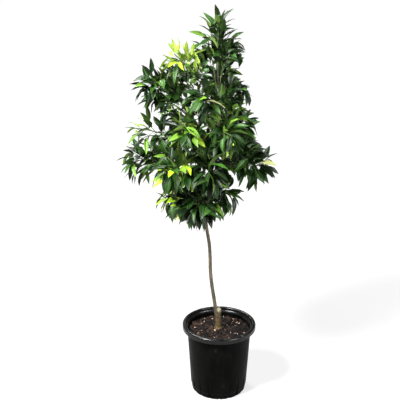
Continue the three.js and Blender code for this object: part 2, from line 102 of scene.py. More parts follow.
def feed(tree: NodeTree, node: Node, inputs: Inputs) -> None:
    """Sets or links a node's inputs.

    Args:
        tree: The tree that the node is in.
        node: The node.
        inputs: What each input takes, by its number or by its name among those in use. It is a value, an
            output socket, or a node, of which the first output in use is taken.
    """
    for key, value in inputs.items():
        named = (socket for socket in node.inputs if socket.enabled and socket.name == key)
        target = node.inputs[key] if isinstance(key, int) else next(named)
        if isinstance(value, Node):
            value = next(socket for socket in value.outputs if socket.enabled)
        if isinstance(value, NodeSocket):
            tree.links.new(value, target)
        else:
            target.default_value = value


def add_node(
    tree: NodeTree,
    kind: str,
    inputs: Inputs | None = None,
    stops: Sequence[tuple[float, str]] = (),
    **settings: object,
) -> Node:
    """Adds one node with its settings, and sets or links its inputs.

    Args:
        tree: The tree that the node goes into.
        kind: Blender's own name for the kind of node.
        inputs: What its inputs take.
        stops: The places and hex colours of a colour ramp.
        settings: The node's own properties.

    Returns:
        The new node.
    """
    node = tree.nodes.new(kind)
    for name, value in settings.items():
        setattr(node, name, value)
    feed(tree, node, inputs or {})
    for index, (place, colour) in enumerate(stops):
        elements = node.color_ramp.elements
        element = elements[index] if index < len(elements) else elements.new(place)
        element.position = place
        element.color = linear(colour)
    return node


@dataclass
class RandomStream:
    """Repeatable random numbers, whose state starts at a seed, so that every run grows the same tree.

    The step and the shifts are those of the mulberry32 generator.
    """

    WORD = 0xFFFFFFFF
    STEP = 0x6D2B79F5
    state: int

    def share(self) -> float:
        """Gives the next random number.

        Returns:
            A number from 0 up to 1.
        """
        self.state = (self.state + self.STEP) & self.WORD
        mixed = ((self.state ^ (self.state >> 15)) * (self.state | 1)) & self.WORD
        mixed ^= (mixed + (((mixed ^ (mixed >> 7)) * (mixed | 61)) & self.WORD)) & self.WORD
        return (mixed ^ (mixed >> 14)) / (self.WORD + 1)

    def between(self, low_high: Range) -> float:
        """Gives the next number within a range."""
        return lerp(low_high, self.share())


class Line:
    """A line in space that gives its place and its direction at each distance along its own length."""

    length: float

    def sideways(self) -> Vector:
        """Gives the one direction that every ring round the line starts from."""
        return EAST


@dataclass(frozen=True)
class Arc(Line):
    """A shoot's line: an arc in an upright plane, whose slope changes evenly from rise by bend."""

    start: Vector
    bearing: float
    rise: float
    bend: float
    length: float
    least_bend: float = 0.01

    @property
    def curl(self) -> float:
        """The change of slope for each millimetre, in radians."""
        bend = self.bend if abs(self.bend) >= self.least_bend else self.least_bend
        return math.radians(bend) / self.length

    def at(self, distance: float) -> Vector:
        """Gives the point at a distance along the arc.

        Args:
            distance: The distance from its start.

        Returns:
            The point.
        """
        rise, bearing = math.radians(self.rise), math.radians(self.bearing)
        slope = rise + self.curl * distance
        out = (math.sin(slope) - math.sin(rise)) / self.curl
        up = (math.cos(rise) - math.cos(slope)) / self.curl
        return self.start + Vector((out * math.cos(bearing), out * math.sin(bearing), up))

    def direction(self, distance: float) -> Vector:
        """Gives the arc's direction at a distance along it."""
        slope, turn = math.radians(self.rise) + self.curl * distance, math.radians(self.bearing)
        return Vector((math.cos(slope) * math.cos(turn), math.cos(slope) * math.sin(turn), math.sin(slope)))

    def on_axis(self, distance: float, steps: int) -> Vector:
        """Gives the point at a distance on the axis of a limb that follows the arc in straight steps."""
        step, index = self.length / steps, min(int(distance / (self.length / steps)), steps - 1)
        return self.at(index * step).lerp(self.at((index + 1) * step), distance / step - index)

    def sideways(self) -> Vector:
        """Gives the level direction square to the arc's upright plane."""
        bearing = math.radians(self.bearing)
        return Vector((-math.sin(bearing), math.cos(bearing), 0.0))

    def stretch(self, start: float, end: float) -> Arc:
        """Gives the part of the arc from one distance to another."""
        bearing, rise = angles_of(self.direction(start))
        return Arc(self.at(start), bearing, rise, math.degrees(self.curl) * (end - start), end - start)


@dataclass
class StemLine(Line):
    """The trunk's line: a smooth curve through its points, measured along its own length."""

    SAMPLES = 200
    NEAR = 1e-4
    HALVINGS = 30
    points: Sequence[Place]

    def __post_init__(self) -> None:
        """Measures the curve."""
        inner = np.array(self.points, float)
        # A point beyond each end, so that the first and the last stretch run out straight
        self._points = np.concatenate([[2 * inner[0] - inner[1]], inner, [2 * inner[-1] - inner[-2]]])
        self._shares = np.linspace(0, 1, self.SAMPLES + 1)
        places = np.array([self._on_curve(share) for share in self._shares])
        steps = np.linalg.norm(np.diff(places, axis=0), axis=1)
        self._lengths = np.concatenate([[0.0], np.cumsum(steps)])
        self.length = float(self._lengths[-1])

    def _on_curve(self, share: float) -> np.ndarray:
        """Gives a point of the curve, by a centripetal spline.

        Args:
            share: The share of the spline's own measure, from 0 to 1.

        Returns:
            The point.
        """
        stretches = len(self._points) - 3
        index = min(int(share * stretches), stretches - 1)
        t = share * stretches - index
        before, start, end, after = self._points[index : index + 4]
        steps = start - before, end - start, after - end
        low, own, high = (np.sqrt(np.linalg.norm(step)) for step in steps)
        leave = own * (steps[0] / low - (end - before) / (low + own) + steps[1] / own)
        arrive = own * (steps[1] / own - (after - start) / (own + high) + steps[2] / high)
        square = -3 * start + 3 * end - 2 * leave - arrive
        cube = 2 * start - 2 * end + leave + arrive
        return start + leave * t + square * t**2 + cube * t**3

    def at(self, distance: float) -> Vector:
        """Gives the point at a distance along the line."""
        return Vector(self._on_curve(float(np.interp(distance, self._lengths, self._shares))))

    def direction(self, distance: float) -> Vector:
        """Gives the line's direction at a distance along it.

        Args:
            distance: The distance from its start.

        Returns:
            The direction.
        """
        share = float(np.interp(distance, self._lengths, self._shares))
        ahead = self._on_curve(min(share + self.NEAR, 1.0))
        behind = self._on_curve(max(share - self.NEAR, 0.0))
        return Vector(ahead - behind).normalized()

    def share_at(self, height: float) -> float:
        """Gives where the line reaches a height.

        Args:
            height: The height.

        Returns:
            The share of the length.
        """
        low, high = 0.0, 1.0
        for _ in range(self.HALVINGS):
            middle = (low + high) / 2
            if self.at(middle * self.length).z < height:
                low = middle
            else:
                high = middle
        return low


@dataclass(frozen=True)
class StockLine(Line):
    """The rootstock's short straight axis, which leans a little."""

    start: Vector
    lean: float
    length: float

    def at(self, distance: float) -> Vector:
        """Gives the point at a height up the axis."""
        return self.start + Vector((self.lean * distance / self.length, 0.0, distance))

    def direction(self, distance: float) -> Vector:
        """Gives the axis's direction, the same all the way up."""
        return Vector((self.lean / self.length, 0.0, 1.0)).normalized()


def angles_of(direction: Vector) -> tuple[float, float]:
    """Gives the bearing and the rise of a direction."""
    flat = math.hypot(direction.x, direction.y)
    return math.degrees(math.atan2(direction.y, direction.x)), math.degrees(math.atan2(direction.z, flat))


def turned_from(axis: Vector, angle: float, around: float) -> Vector:
    """Turns a direction away from an axis.

    Args:
        axis: The direction that it starts from.
        angle: How far it turns from the axis.
        around: The bearing round the axis that it turns to.

    Returns:
        The new direction.
    """
    side = UP.cross(axis)
    side = side.normalized() if side.length > 1e-3 else EAST
    over = axis.cross(side)
    angle, around = math.radians(angle), math.radians(around)
    across = side * math.cos(around) + over * math.sin(around)
    return (axis * math.cos(angle) + across * math.sin(angle)).normalized()


def unit_rows(rows: np.ndarray) -> np.ndarray:
    """Scales each row to a length of one, apart from rows of no length."""
    return rows / np.maximum(np.linalg.norm(rows, axis=1), SMALLEST)[:, None]


@dataclass
class Shape:
    """A mesh while it is being put together, in millimetres.

    Its grain is each point's place round and along its limb. Its slots are the material slot of the whole
    shape or of each face. Its tone is a number for its material to read, and its corner_uv is the flat
    place of each corner, in the order of the faces.
    """

    points: np.ndarray
    faces: list[Face]
    grain: np.ndarray | None = None
    slots: int | Sequence[int] = 0
    tone: float = 0.0
    corner_uv: np.ndarray | None = None

    def solid(self) -> BVHTree:
        """Gives the same shape as a plain solid, which tells what it runs into."""
        return BVHTree.FromPolygons(self.points.tolist(), self.faces)


def closed_skin(rings: np.ndarray, foot: Sequence[float], tip: Sequence[float]) -> Shape:
    """Closes a stack of rings into one skin that faces outwards.

    Args:
        rings: The points of each ring, all counted the same way round.
        foot: The point that closes the first ring.
        tip: The point that closes the last ring.

    Returns:
        The skin: the cells ring by ring, then the fans at the foot and the tip.
    """
    count, sides = rings.shape[:2]
    turn = [(k, (k + 1) % sides) for k in range(sides)]
    last, foot_index = (count - 1) * sides, count * sides
    faces: list[Face] = [
        (low + k, low + after, low + sides + after, low + sides + k)
        for low in range(0, last, sides)
        for k, after in turn
    ]
    faces += [(foot_index, after, k) for k, after in turn]
    faces += [(foot_index + 1, last + k, last + after) for k, after in turn]
    return Shape(np.concatenate([rings.reshape(-1, 3), [foot, tip]]), faces)


def tube(line: Line, radii: Sequence[float], sides: int) -> Shape:
    """Makes a round limb along a line, closed at both ends, whose rings don't twist.

    Args:
        line: The line that it follows from end to end.
        radii: The radius at each ring, at even steps along the line.
        sides: How many sides it has.

    Returns:
        The limb. Its grain gives each point's place round and along the limb.
    """
    turns = np.linspace(0, 2 * math.pi, sides, endpoint=False)
    rings, grain = [], []
    for index, radius in enumerate(radii):
        distance = line.length * index / (len(radii) - 1)
        axis, centre = line.direction(distance), line.at(distance)
        side = (line.sideways() - axis * line.sideways().dot(axis)).normalized()
        over = axis.cross(side)
        rings.append([centre + (side * math.sin(t) - over * math.cos(t)) * radius for t in turns])
        grain += [(math.sin(t) * radius, -math.cos(t) * radius, distance) for t in turns]
    shape = closed_skin(np.array(rings, float), line.at(0.0), line.at(line.length))
    shape.grain = np.array([*grain, (0.0, 0.0, 0.0), (0.0, 0.0, line.length)], float)
    return shape


@dataclass(frozen=True)
class Ridges:
    """The drawn-out ridges of bark, with each ridge's height, width and length.

    The detail is how rough they are, how much finer each layer of them is, and how many layers there are.
    """

    height: float
    width: float
    length: float
    detail: tuple[float, float, int] = (0.8, 2.0, 3)

    def on(self, grain: np.ndarray) -> np.ndarray:
        """Gives how far the bark stands out at each place round and along a limb."""
        places = grain / (self.width, self.width, self.length)
        return self.height * np.array([noise.fractal(Vector(place), *self.detail) for place in places])


@dataclass(frozen=True)
class Swellings:
    """The low rings where leaves stand or have stood, at even steps along a limb."""

    height: float
    spacing: float
    first: float
    width: float

    def on(self, distance: np.ndarray) -> np.ndarray:
        """Gives how far the limb swells at each distance along it."""
        return self.height * np.exp(-((distance % self.spacing - self.first) ** 2) / self.width)


def new_mesh(name: str, points: np.ndarray, faces: Sequence[Face], scale: float = MM) -> Mesh:
    """Makes a mesh from points and faces.

    Args:
        name: Its name.
        points: Its points.
        faces: Its faces.
        scale: What brings the points to metres.

    Returns:
        The mesh.
    """
    mesh = bpy.data.meshes.new(name)
    mesh.from_pydata((np.asarray(points) * scale).tolist(), [], faces)
    return mesh


def keep_grain(mesh: Mesh, grain: np.ndarray) -> None:
    """Keeps each point's place round and along its limb, in metres, for the bark to read."""
    attribute = mesh.attributes.new("grain", "FLOAT_VECTOR", "POINT")
    attribute.data.foreach_set("vector", (grain * MM).ravel())


def read_rows(mesh: Mesh, kind: str) -> np.ndarray:
    """Reads the places, "co", or the normals, "normal", of a mesh's points, one in each row."""
    return np.array([getattr(vertex, kind) for vertex in mesh.vertices], float)


def in_scene(name: str, data: bpy.types.ID) -> Object:
    """Puts a mesh, a light or a camera into the scene as an object.

    Args:
        name: The object's name.
        data: What it shows.

    Returns:
        The object, at the origin.
    """
    placed = bpy.data.objects.new(name, data)
    bpy.context.scene.collection.objects.link(placed)
    return placed


def joined(
    name: str, shapes: Sequence[Shape], materials: Sequence[Material], sharp: float = 180.0
) -> Object:
    """Joins shapes of one kind into one piece.

    Args:
        name: The piece's name.
        shapes: The shapes.
        materials: Its materials, in the order of the slots.
        sharp: The angle between two faces above which their edge shows.

    Returns:
        The object, at the origin.
    """
    counts = [len(shape.points) for shape in shapes]
    starts = accumulate([0, *counts[:-1]])
    faces = [tuple(start + i for i in face) for start, shape in zip(starts, shapes) for face in shape.faces]
    mesh = new_mesh(name, np.concatenate([shape.points for shape in shapes]), faces)
    grains = [shape.points if shape.grain is None else shape.grain for shape in shapes]
    keep_grain(mesh, np.concatenate(grains))
    tone = mesh.attributes.new("tone", "FLOAT", "POINT")
    tone.data.foreach_set("value", np.repeat([shape.tone for shape in shapes], counts))
    slots = [np.broadcast_to(shape.slots, len(shape.faces)) for shape in shapes]
    mesh.polygons.foreach_set("material_index", np.concatenate(slots))
    if shapes[0].corner_uv is not None:
        layer = mesh.uv_layers.new(name="blade")
        layer.data.foreach_set("uv", np.concatenate([shape.corner_uv for shape in shapes]).ravel())
    return finished(name, mesh, materials, sharp)


def finished(
    name: str, mesh: Mesh, materials: Sequence[Material], sharp: float = 180.0
) -> Object:
    """Turns a mesh into a smooth object of the scene that rides on the tree's body.

    Args:
        name: The piece's name.
        mesh: Its mesh, in metres and in place.
        materials: Its materials, in the order of the slots.
        sharp: The angle between two faces above which their edge shows.

    Returns:
        The object.
    """
    mesh.name = name
    for material in materials:
        mesh.materials.append(material)
    mesh.shade_smooth()
    if sharp < 180.0:
        mesh.set_sharp_from_angle(angle=math.radians(sharp))
    mesh.update()
    piece = in_scene(name, mesh)
    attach(piece, BODY)
    mesh.calc_loop_triangles()
    LOG.info("%s: %d triangles", name, len(mesh.loop_triangles))
    return piece


def plain_mesh(piece: Object) -> Mesh:
    """Works out an object's modifiers.

    Args:
        piece: The object, which goes.

    Returns:
        The result as a plain mesh.
    """
    graph = bpy.context.evaluated_depsgraph_get()
    mesh = bpy.data.meshes.new_from_object(piece.evaluated_get(graph), depsgraph=graph)
    old = piece.data
    bpy.data.objects.remove(piece)
    bpy.data.meshes.remove(old)
    return mesh


class Finish:
    """A surface finish: each kind lays its own pattern, and one surface shader takes it.

    What a kind doesn't say of its shine stays as the shader has it.
    """

    name: str
    roughness = 0.5
    ior = 1.5
    specular = 0.5

    def surface(self, node: AddNode) -> Inputs:
        """Adds the pattern's nodes to the material and gives what the shader's inputs take."""
        raise NotImplementedError

    def material(self) -> Material:
        """Makes the material.

        Returns:
            The material, under the finish's name.
        """
        material = bpy.data.materials.new(self.name)
        material.use_nodes = True
        tree = material.node_tree
        even = {"Roughness": self.roughness, "IOR": self.ior, "Specular IOR Level": self.specular}
        feed(tree, tree.nodes["Principled BSDF"], even | self.surface(partial(add_node, tree)))
        return material


class Tone(Enum):
    """The ages and lights of a leaf, each with the hex colours of its upper side and its underside."""

    DEEP = ("#061402", "#17270b")
    DARK = ("#0e2507", "#273e16")
    MID = ("#213e11", "#415c25")
    FRESH = ("#4a6b1c", "#6b863a")
    LIME = ("#76941b", "#8ba43e")
    PALE = ("#bcbf80", "#c8ca94")


@dataclass(frozen=True)
class LeafFinish(Finish):
    """The upper side of a citrus leaf: a thick waxy skin, so it is dark, smooth and glossy.

    A pale midrib and faint side veins cross it, and the green shifts a little from leaf to leaf.
    """

    tone: Tone
    length: float = 90.0
    # Patches of lighter and darker green, about half a leaf across
    patch: float = 40.0
    # Where the midrib begins to fade and where it ends, in shares of the blade's width
    midrib: Range = (0.02, 0.07)
    midrib_strength: float = 0.55
    vein_spacing: float = 7.0
    # Side veins leave the midrib forwards, so their bands slope with the distance from it
    vein_slope: float = -0.35
    vein_height: float = 0.35
    roughness: float = 0.4
    ior: float = 1.45
    specular: float = 0.22

    @property
    def name(self) -> str:
        """The material's name, with the leaf's tone."""
        return f"waxy_leaf_{self.tone.name.lower()}"

    def surface(self, node: AddNode) -> Inputs:
        """Adds the patches, the midrib and the veins.

        Args:
            node: What adds a node to the material's tree.

        Returns:
            What the shader's inputs take.
        """
        upper, under = self.tone.value
        place = node("ShaderNodeTexCoord").outputs["Object"]
        flat = node("ShaderNodeUVMap", uv_map="blade")
        blade = node("ShaderNodeSeparateXYZ", {0: flat})
        scale = 1 / (self.patch * MM)
        patches = node("ShaderNodeTexNoise", {"Vector": place, "Scale": scale, "Detail": 2.0})
        own = node("ShaderNodeAttribute", attribute_name="tone").outputs["Fac"]
        shade = node("ShaderNodeMath", {0: patches, 1: own}, operation="ADD")
        stops = [(0.25, shaded(upper, 0.62)), (0.55, upper), (1.0, shaded(upper, 1.35))]
        green = node("ShaderNodeValToRGB", {"Fac": shade}, stops)
        middle = node("ShaderNodeMath", {0: blade.outputs["X"], 1: 0.5}, operation="SUBTRACT")
        away = node("ShaderNodeMath", {0: middle}, operation="ABSOLUTE")
        low, high = self.midrib
        fade = {"From Min": low, "From Max": high, "To Min": self.midrib_strength, "To Max": 0.0}
        rib = node("ShaderNodeMapRange", {"Value": away, **fade})
        mixed = {"Factor": rib, "A": green, "B": linear(under)}
        colour = node("ShaderNodeMix", mixed, data_type="RGBA")
        sloped = {0: away, 1: self.vein_slope, 2: blade.outputs["Y"]}
        bands = node("ShaderNodeMath", sloped, operation="MULTIPLY_ADD")
        turn = 2 * math.pi * self.length / self.vein_spacing
        turns = node("ShaderNodeMath", {0: bands, 1: turn}, operation="MULTIPLY")
        veins = node("ShaderNodeMath", {0: turns}, operation="SINE")
        raised = {"Height": veins, "Strength": 0.35, "Distance": self.vein_height * MM}
        return {"Base Color": colour, "Normal": node("ShaderNodeBump", raised)}


@dataclass(frozen=True)
class LeafUnderFinish(Finish):
    """The underside of a citrus leaf: no wax, so it is paler, greyer and matt, with a pitted skin."""

    tone: Tone
    patch: float = 25.0
    pit_depth: float = 0.4
    roughness: float = 0.62
    specular: float = 0.12

    @property
    def name(self) -> str:
        """The material's name, with the leaf's tone."""
        return f"matt_leaf_underside_{self.tone.name.lower()}"

    def surface(self, node: AddNode) -> Inputs:
        """Adds the patches and their relief.

        Args:
            node: What adds a node to the material's tree.

        Returns:
            What the shader's inputs take.
        """
        under = self.tone.value[1]
        place = node("ShaderNodeTexCoord").outputs["Object"]
        scale = 1 / (self.patch * MM)
        patches = node("ShaderNodeTexNoise", {"Vector": place, "Scale": scale, "Detail": 3.0})
        stops = [(0.3, shaded(under, 0.78)), (0.7, under)]
        colour = node("ShaderNodeValToRGB", {"Fac": patches}, stops)
        raised = {"Height": patches, "Strength": 0.3, "Distance": self.pit_depth * MM}
        return {"Base Color": colour, "Normal": node("ShaderNodeBump", raised)}


@dataclass(frozen=True)
class BarkFinish(Finish):
    """Living citrus bark: thin and smooth, with pale stretch lines and corky dots along the limb.

    The lines run with the limb, so the pattern reads the limb's own grain.
    """

    name: str
    ground: str
    line: str
    fleck: str
    line_width: float = 2.2
    line_length: float = 42.0
    fleck_spacing: float = 6.0
    fleck_strength: float = 0.7
    relief: float = 0.6
    roughness: float = 0.72

    def surface(self, node: AddNode) -> Inputs:
        """Adds the stretch lines and the corky dots.

        Args:
            node: What adds a node to the material's tree.

        Returns:
            What the shader's inputs take.
        """
        grain = node("ShaderNodeAttribute", attribute_name="grain").outputs["Vector"]
        along = {"Vector": grain, "Scale": (1.0, 1.0, self.line_width / self.line_length)}
        drawn_out = node("ShaderNodeMapping", along)
        fine = {"Scale": 1 / (self.line_width * MM), "Detail": 3.0, "Roughness": 0.6}
        lines = node("ShaderNodeTexNoise", {"Vector": drawn_out, **fine})
        stops = [(0.36, shaded(self.ground, 0.6)), (0.5, self.ground), (0.62, self.line)]
        bark = node("ShaderNodeValToRGB", {"Fac": lines}, stops)
        scale = 1 / (self.fleck_spacing * MM)
        dots = node("ShaderNodeTexVoronoi", {"Vector": grain, "Scale": scale})
        fade = {"From Min": 0.1, "From Max": 0.2, "To Min": self.fleck_strength, "To Max": 0.0}
        cork = node("ShaderNodeMapRange", {"Value": dots, **fade})
        height = node("ShaderNodeMath", {0: lines, 1: cork}, operation="ADD")
        mixed = {"Factor": cork, "A": bark, "B": linear(self.fleck)}
        colour = node("ShaderNodeMix", mixed, data_type="RGBA")
        raised = {"Height": height, "Strength": 0.6, "Distance": self.relief * MM}
        return {"Base Color": colour, "Normal": node("ShaderNodeBump", raised)}


@dataclass(frozen=True)
class NurseryPlasticFinish(Finish):
    """Black polypropylene as moulded for nursery pots: a satin skin that dulls with dust and scuffs."""

    name: str = "moulded_black_polypropylene"
    ground: str = "#020202"
    dust: str = "#060605"
    scuff: str = "#161713"
    # Dust that water has dried into patches of this width, and twice as tall
    patch: float = 30.0
    tallness: float = 2.0
    grain_size: float = 1.6
    grain_height: float = 0.25
    gloss: Range = (0.36, 0.58)
    ior: float = 1.49
    specular: float = 0.03

    def surface(self, node: AddNode) -> Inputs:
        """Adds the dust, the wear and the moulded grain.

        Args:
            node: What adds a node to the material's tree.

        Returns:
            What the shader's inputs take.
        """
        place = node("ShaderNodeTexCoord").outputs["Object"]
        tall = {"Vector": place, "Scale": (1.0, 1.0, 1 / self.tallness)}
        drawn_out = node("ShaderNodeMapping", tall)
        ragged = {"Scale": 1 / (self.patch * MM), "Detail": 6.0, "Roughness": 0.62}
        runs = node("ShaderNodeTexNoise", {"Vector": drawn_out, **ragged})
        stops = [(0.4, self.ground), (0.66, self.dust), (0.72, self.scuff)]
        worn = {"From Min": 0.3, "From Max": 0.7, "To Min": self.gloss[0], "To Max": self.gloss[1]}
        scale = 1 / (self.grain_size * MM)
        grain = node("ShaderNodeTexNoise", {"Vector": place, "Scale": scale, "Detail": 2.0})
        raised = {"Height": grain, "Strength": 0.35, "Distance": self.grain_height * MM}
        return {
            "Base Color": node("ShaderNodeValToRGB", {"Fac": runs}, stops),
            "Roughness": node("ShaderNodeMapRange", {"Value": runs, **worn}),
            "Normal": node("ShaderNodeBump", raised),
        }


@dataclass(frozen=True)
class CrumbFinish(Finish):
    """Composted bark, peat or expanded perlite: dry, porous and matt, mottled from crumb to crumb."""

    name: str
    dark: str
    light: str
    mottle: float = 9.0
    relief: float = 1.2
    # The bed is still wet, so darker, on the side away from the sun: from where to where along X it
    # turns so, and how far it goes
    wet_from_to: Range = (-20.0, 60.0)
    wet: float = 0.55
    roughness: float = 0.93
    specular: float = 0.1

    def surface(self, node: AddNode) -> Inputs:
        """Adds the mottle, the wet side and the crumbly relief.

        Args:
            node: What adds a node to the material's tree.

        Returns:
            What the shader's inputs take.
        """
        place = node("ShaderNodeTexCoord").outputs["Object"]
        rough = {"Scale": 1 / (self.mottle * MM), "Detail": 5.0, "Roughness": 0.7}
        coarse = node("ShaderNodeTexNoise", {"Vector": place, **rough})
        stops = [(0.42, self.dark), (0.68, self.light)]
        colour = node("ShaderNodeValToRGB", {"Fac": coarse}, stops)
        side = node("ShaderNodeSeparateXYZ", {0: place}).outputs["X"]
        low, high = (edge * MM for edge in self.wet_from_to)
        span = {"Value": side, "From Min": low, "From Max": high, "To Min": 0.0, "To Max": self.wet}
        mixed = {"Factor": node("ShaderNodeMapRange", span), "A": colour, "B": linear(self.dark)}
        damp = node("ShaderNodeMix", mixed, data_type="RGBA")
        raised = {"Height": coarse, "Strength": 0.8, "Distance": self.relief * MM}
        return {"Base Color": damp, "Normal": node("ShaderNodeBump", raised)}


def stepped(radius: float, height: float, outline: Iterable[Range]) -> list[Range]:
    """Gives the points of an outline, radius and height, whose steps out and up start from a corner."""
    return [(radius + out, height + up) for out, up in outline]


@dataclass
class Pot:
    """The nursery pot: a tapered tub with a rolled rim, flutes round its foot and drain slots.

    Each outline is a row of steps out and up from a corner that its comment names.
    """

    height: float = 275.0
    rim_radius: float = 140.0
    rim_width: float = 13.0
    rim_depth: float = 19.0
    rim_round: float = 5.0
    wall: float = 2.6
    top_radius: float = 123.0
    foot_radius: float = 104.0
    foot_height: float = 20.0
    foot_step: float = 2.5
    floor: float = 4.0
    flutes: int = 18
    flute_height: float = 84.0
    flute_width: float = 11.0
    flute_depth: float = 3.2
    flute_start: float = 10.0
    slot_every: int = 3
    slot_height: float = 16.0
    slot_width: float = 8.0
    slot_lift: float = 5.0
    columns: int = 540
    # Within this radius there is only the floor, and past it the wall
    floor_edge: float = 90.0
    # From the foot's radius and the ground
    under_outline: tuple[Range, ...] = ((-64.0, 0.0), (-24.0, 0.0), (-4.0, 0.0), (-1.2, 0.8), (0.0, 3.0))
    # How far the foot's wall leans out at the slots' lower edge, half way up and under the step
    foot_lean: Place = (0.2, 0.5, 0.8)
    step_round: float = 1.6
    # From the wall and the rim's lower edge
    crease_outline: tuple[Range, ...] = ((0.4, -1.0), (1.5, 0.0))
    # From the rim's radius and its lower edge, where a bead runs round
    bead_outline: tuple[Range, ...] = (
        (-4.0, -0.6), (-1.2, 0.2), (0.0, 1.8), (-0.2, 3.6), (-1.0, 5.2), (-0.9, 8.0)
    )
    # From the mouth and the top
    lip_outline: tuple[Range, ...] = ((3.0, 0.0), (0.9, -0.6), (0.0, -2.4))
    # From the mouth and the ledge under the rim
    ledge_outline: tuple[Range, ...] = ((0.0, 9.0), (-0.8, 5.5), (-3.0, 3.0))
    inside_heights: tuple[float, ...] = (240.0, 200.0, 150.0, 110.0)
    # Where the inside of the fluted wall has rings, between the flutes' tops and the drain slots
    fluted_inside: float = 50.0
    floor_round: float = 8.0
    floor_ring: float = 60.0
    # How far, how many times round and from which turn the thin wall goes out of true
    waves: tuple[tuple[float, int, float], ...] = ((0.35, 2, 0.7), (0.2, 5, 2.1))
    wall_finish: NurseryPlasticFinish = NurseryPlasticFinish()
    rim_finish: NurseryPlasticFinish = NurseryPlasticFinish(
        "rubbed_rim_polypropylene", "#040404", "#0c0c0b", "#44443f", gloss=(0.18, 0.34), specular=0.22
    )

    @property
    def flute_floor(self) -> float:
        """The radius at the bottom of a flute, at the pot's foot."""
        return self.foot_radius - self.flute_depth

    @property
    def slot_top(self) -> float:
        """The height of the drain slots' upper edge."""
        return self.slot_lift + self.slot_height

    def wall_radius(self, height: float) -> float:
        """Gives the plain wall's outer radius at a height."""
        return lerp((self.foot_radius + self.foot_step, self.top_radius), height / self.height)

    def _outside(self) -> list[Range]:
        """Gives the outside's outline.

        Returns:
            Radius and height, from the underside to the rim's inner edge.
        """
        under, foot = self.height - self.rim_depth, self.foot_height
        lean_heights = (self.slot_lift, (self.slot_lift + foot) / 2, foot - 2)
        wall_heights = [foot + 3, *np.linspace(foot + 8, self.flute_height + 4, 16)]
        wall_heights += [*np.linspace(self.flute_height + 14, under - 4, 8)]
        turns = [math.radians(angle) for angle in range(0, 91, 15)]
        rounding = [(self.rim_round * math.cos(turn), self.rim_round * math.sin(turn)) for turn in turns]
        return [
            *stepped(self.foot_radius, 0.0, self.under_outline),
            *stepped(self.foot_radius, 0.0, zip(self.foot_lean, lean_heights)),
            (self.wall_radius(foot) - self.step_round, self.slot_top),
            *[(self.wall_radius(height), height) for height in wall_heights],
            *stepped(self.wall_radius(under), under, self.crease_outline),
            *stepped(self.rim_radius, under, self.bead_outline),
            *stepped(self.rim_radius - self.rim_round, self.height - self.rim_round, rounding),
            *stepped(self.rim_radius - self.rim_width, self.height, self.lip_outline),
        ]

    def _inside(self) -> list[Range]:
        """Gives the inside's outline.

        Returns:
            Radius and height, from the rim's inner edge to the floor.
        """
        ledge = self.height - self.rim_depth + self.wall
        behind = self.flute_floor - self.wall
        fluted = (behind, self.wall_radius(self.flute_height) - self.wall - 1)
        rise = self.flute_height - self.floor_round
        fluted_heights = (self.flute_height, self.fluted_inside, self.slot_top, self.floor_round)
        return [
            *stepped(self.rim_radius - self.rim_width, ledge, self.ledge_outline),
            *[(self.wall_radius(height) - self.wall, height) for height in (ledge, *self.inside_heights)],
            *[(lerp(fluted, (height - self.floor_round) / rise), height) for height in fluted_heights],
            (behind - 0.8, self.slot_lift),
            (behind - 3, self.floor),
            (self.floor_ring, self.floor),
        ]

    def _flute_cut(self, radius: np.ndarray, height: np.ndarray, turn: np.ndarray) -> np.ndarray:
        """Gives how far the flutes press the wall inwards.

        Args:
            radius: The wall's plain radius in each ring.
            height: Each ring's height.
            turn: The turn of each column.

        Returns:
            The depth at each place. It runs out at the flutes' tops.
        """
        low, high = self.flute_floor, self.wall_radius(self.flute_height) + 0.4
        bottom = lerp((low, high), (height + 1) / (self.flute_height + 1))
        depth = np.clip(radius - bottom, 0, None) * (height < self.flute_height) * (radius > low - 4)
        step = 2 * math.pi / self.flutes
        away = np.abs((turn - math.radians(self.flute_start) + step / 2) % step - step / 2) * radius
        return depth * (1 - np.clip(away / (self.flute_width / 2), 0, 1) ** 4) ** 2

    def build(self) -> None:
        """Makes the pot in one closed skin and lays its plastic on it."""
        outside, profile = self._outside(), self._outside() + self._inside()
        radius, height = np.array(profile).T[:, :, None]
        turn = np.linspace(0, 2 * math.pi, self.columns, endpoint=False) + math.radians(self.flute_start)
        cut = self._flute_cut(radius, height, turn[None, :])
        cut[len(outside) :] = 0
        untrue = sum(far * np.sin(times * turn + start) for far, times, start in self.waves)
        untrue = untrue * np.clip(height / self.height, 0, 1) * (radius > self.floor_edge)
        reach = radius - cut + untrue
        rings = np.stack([reach * np.cos(turn), reach * np.sin(turn), height + 0 * turn], axis=2)
        skin = closed_skin(rings, (0, 0, 0), (0, 0, self.floor))
        skin.faces = self._with_slots(skin.faces, profile, len(outside))
        rim_from = self.height - self.rim_depth - 0.8
        skin.slots = [int(min(skin.points[i][2] for i in face) > rim_from) for face in skin.faces]
        finishes = [self.wall_finish.material(), self.rim_finish.material()]
        piece = joined("nursery_pot", [skin], finishes, sharp=50.0)
        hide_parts("pot")

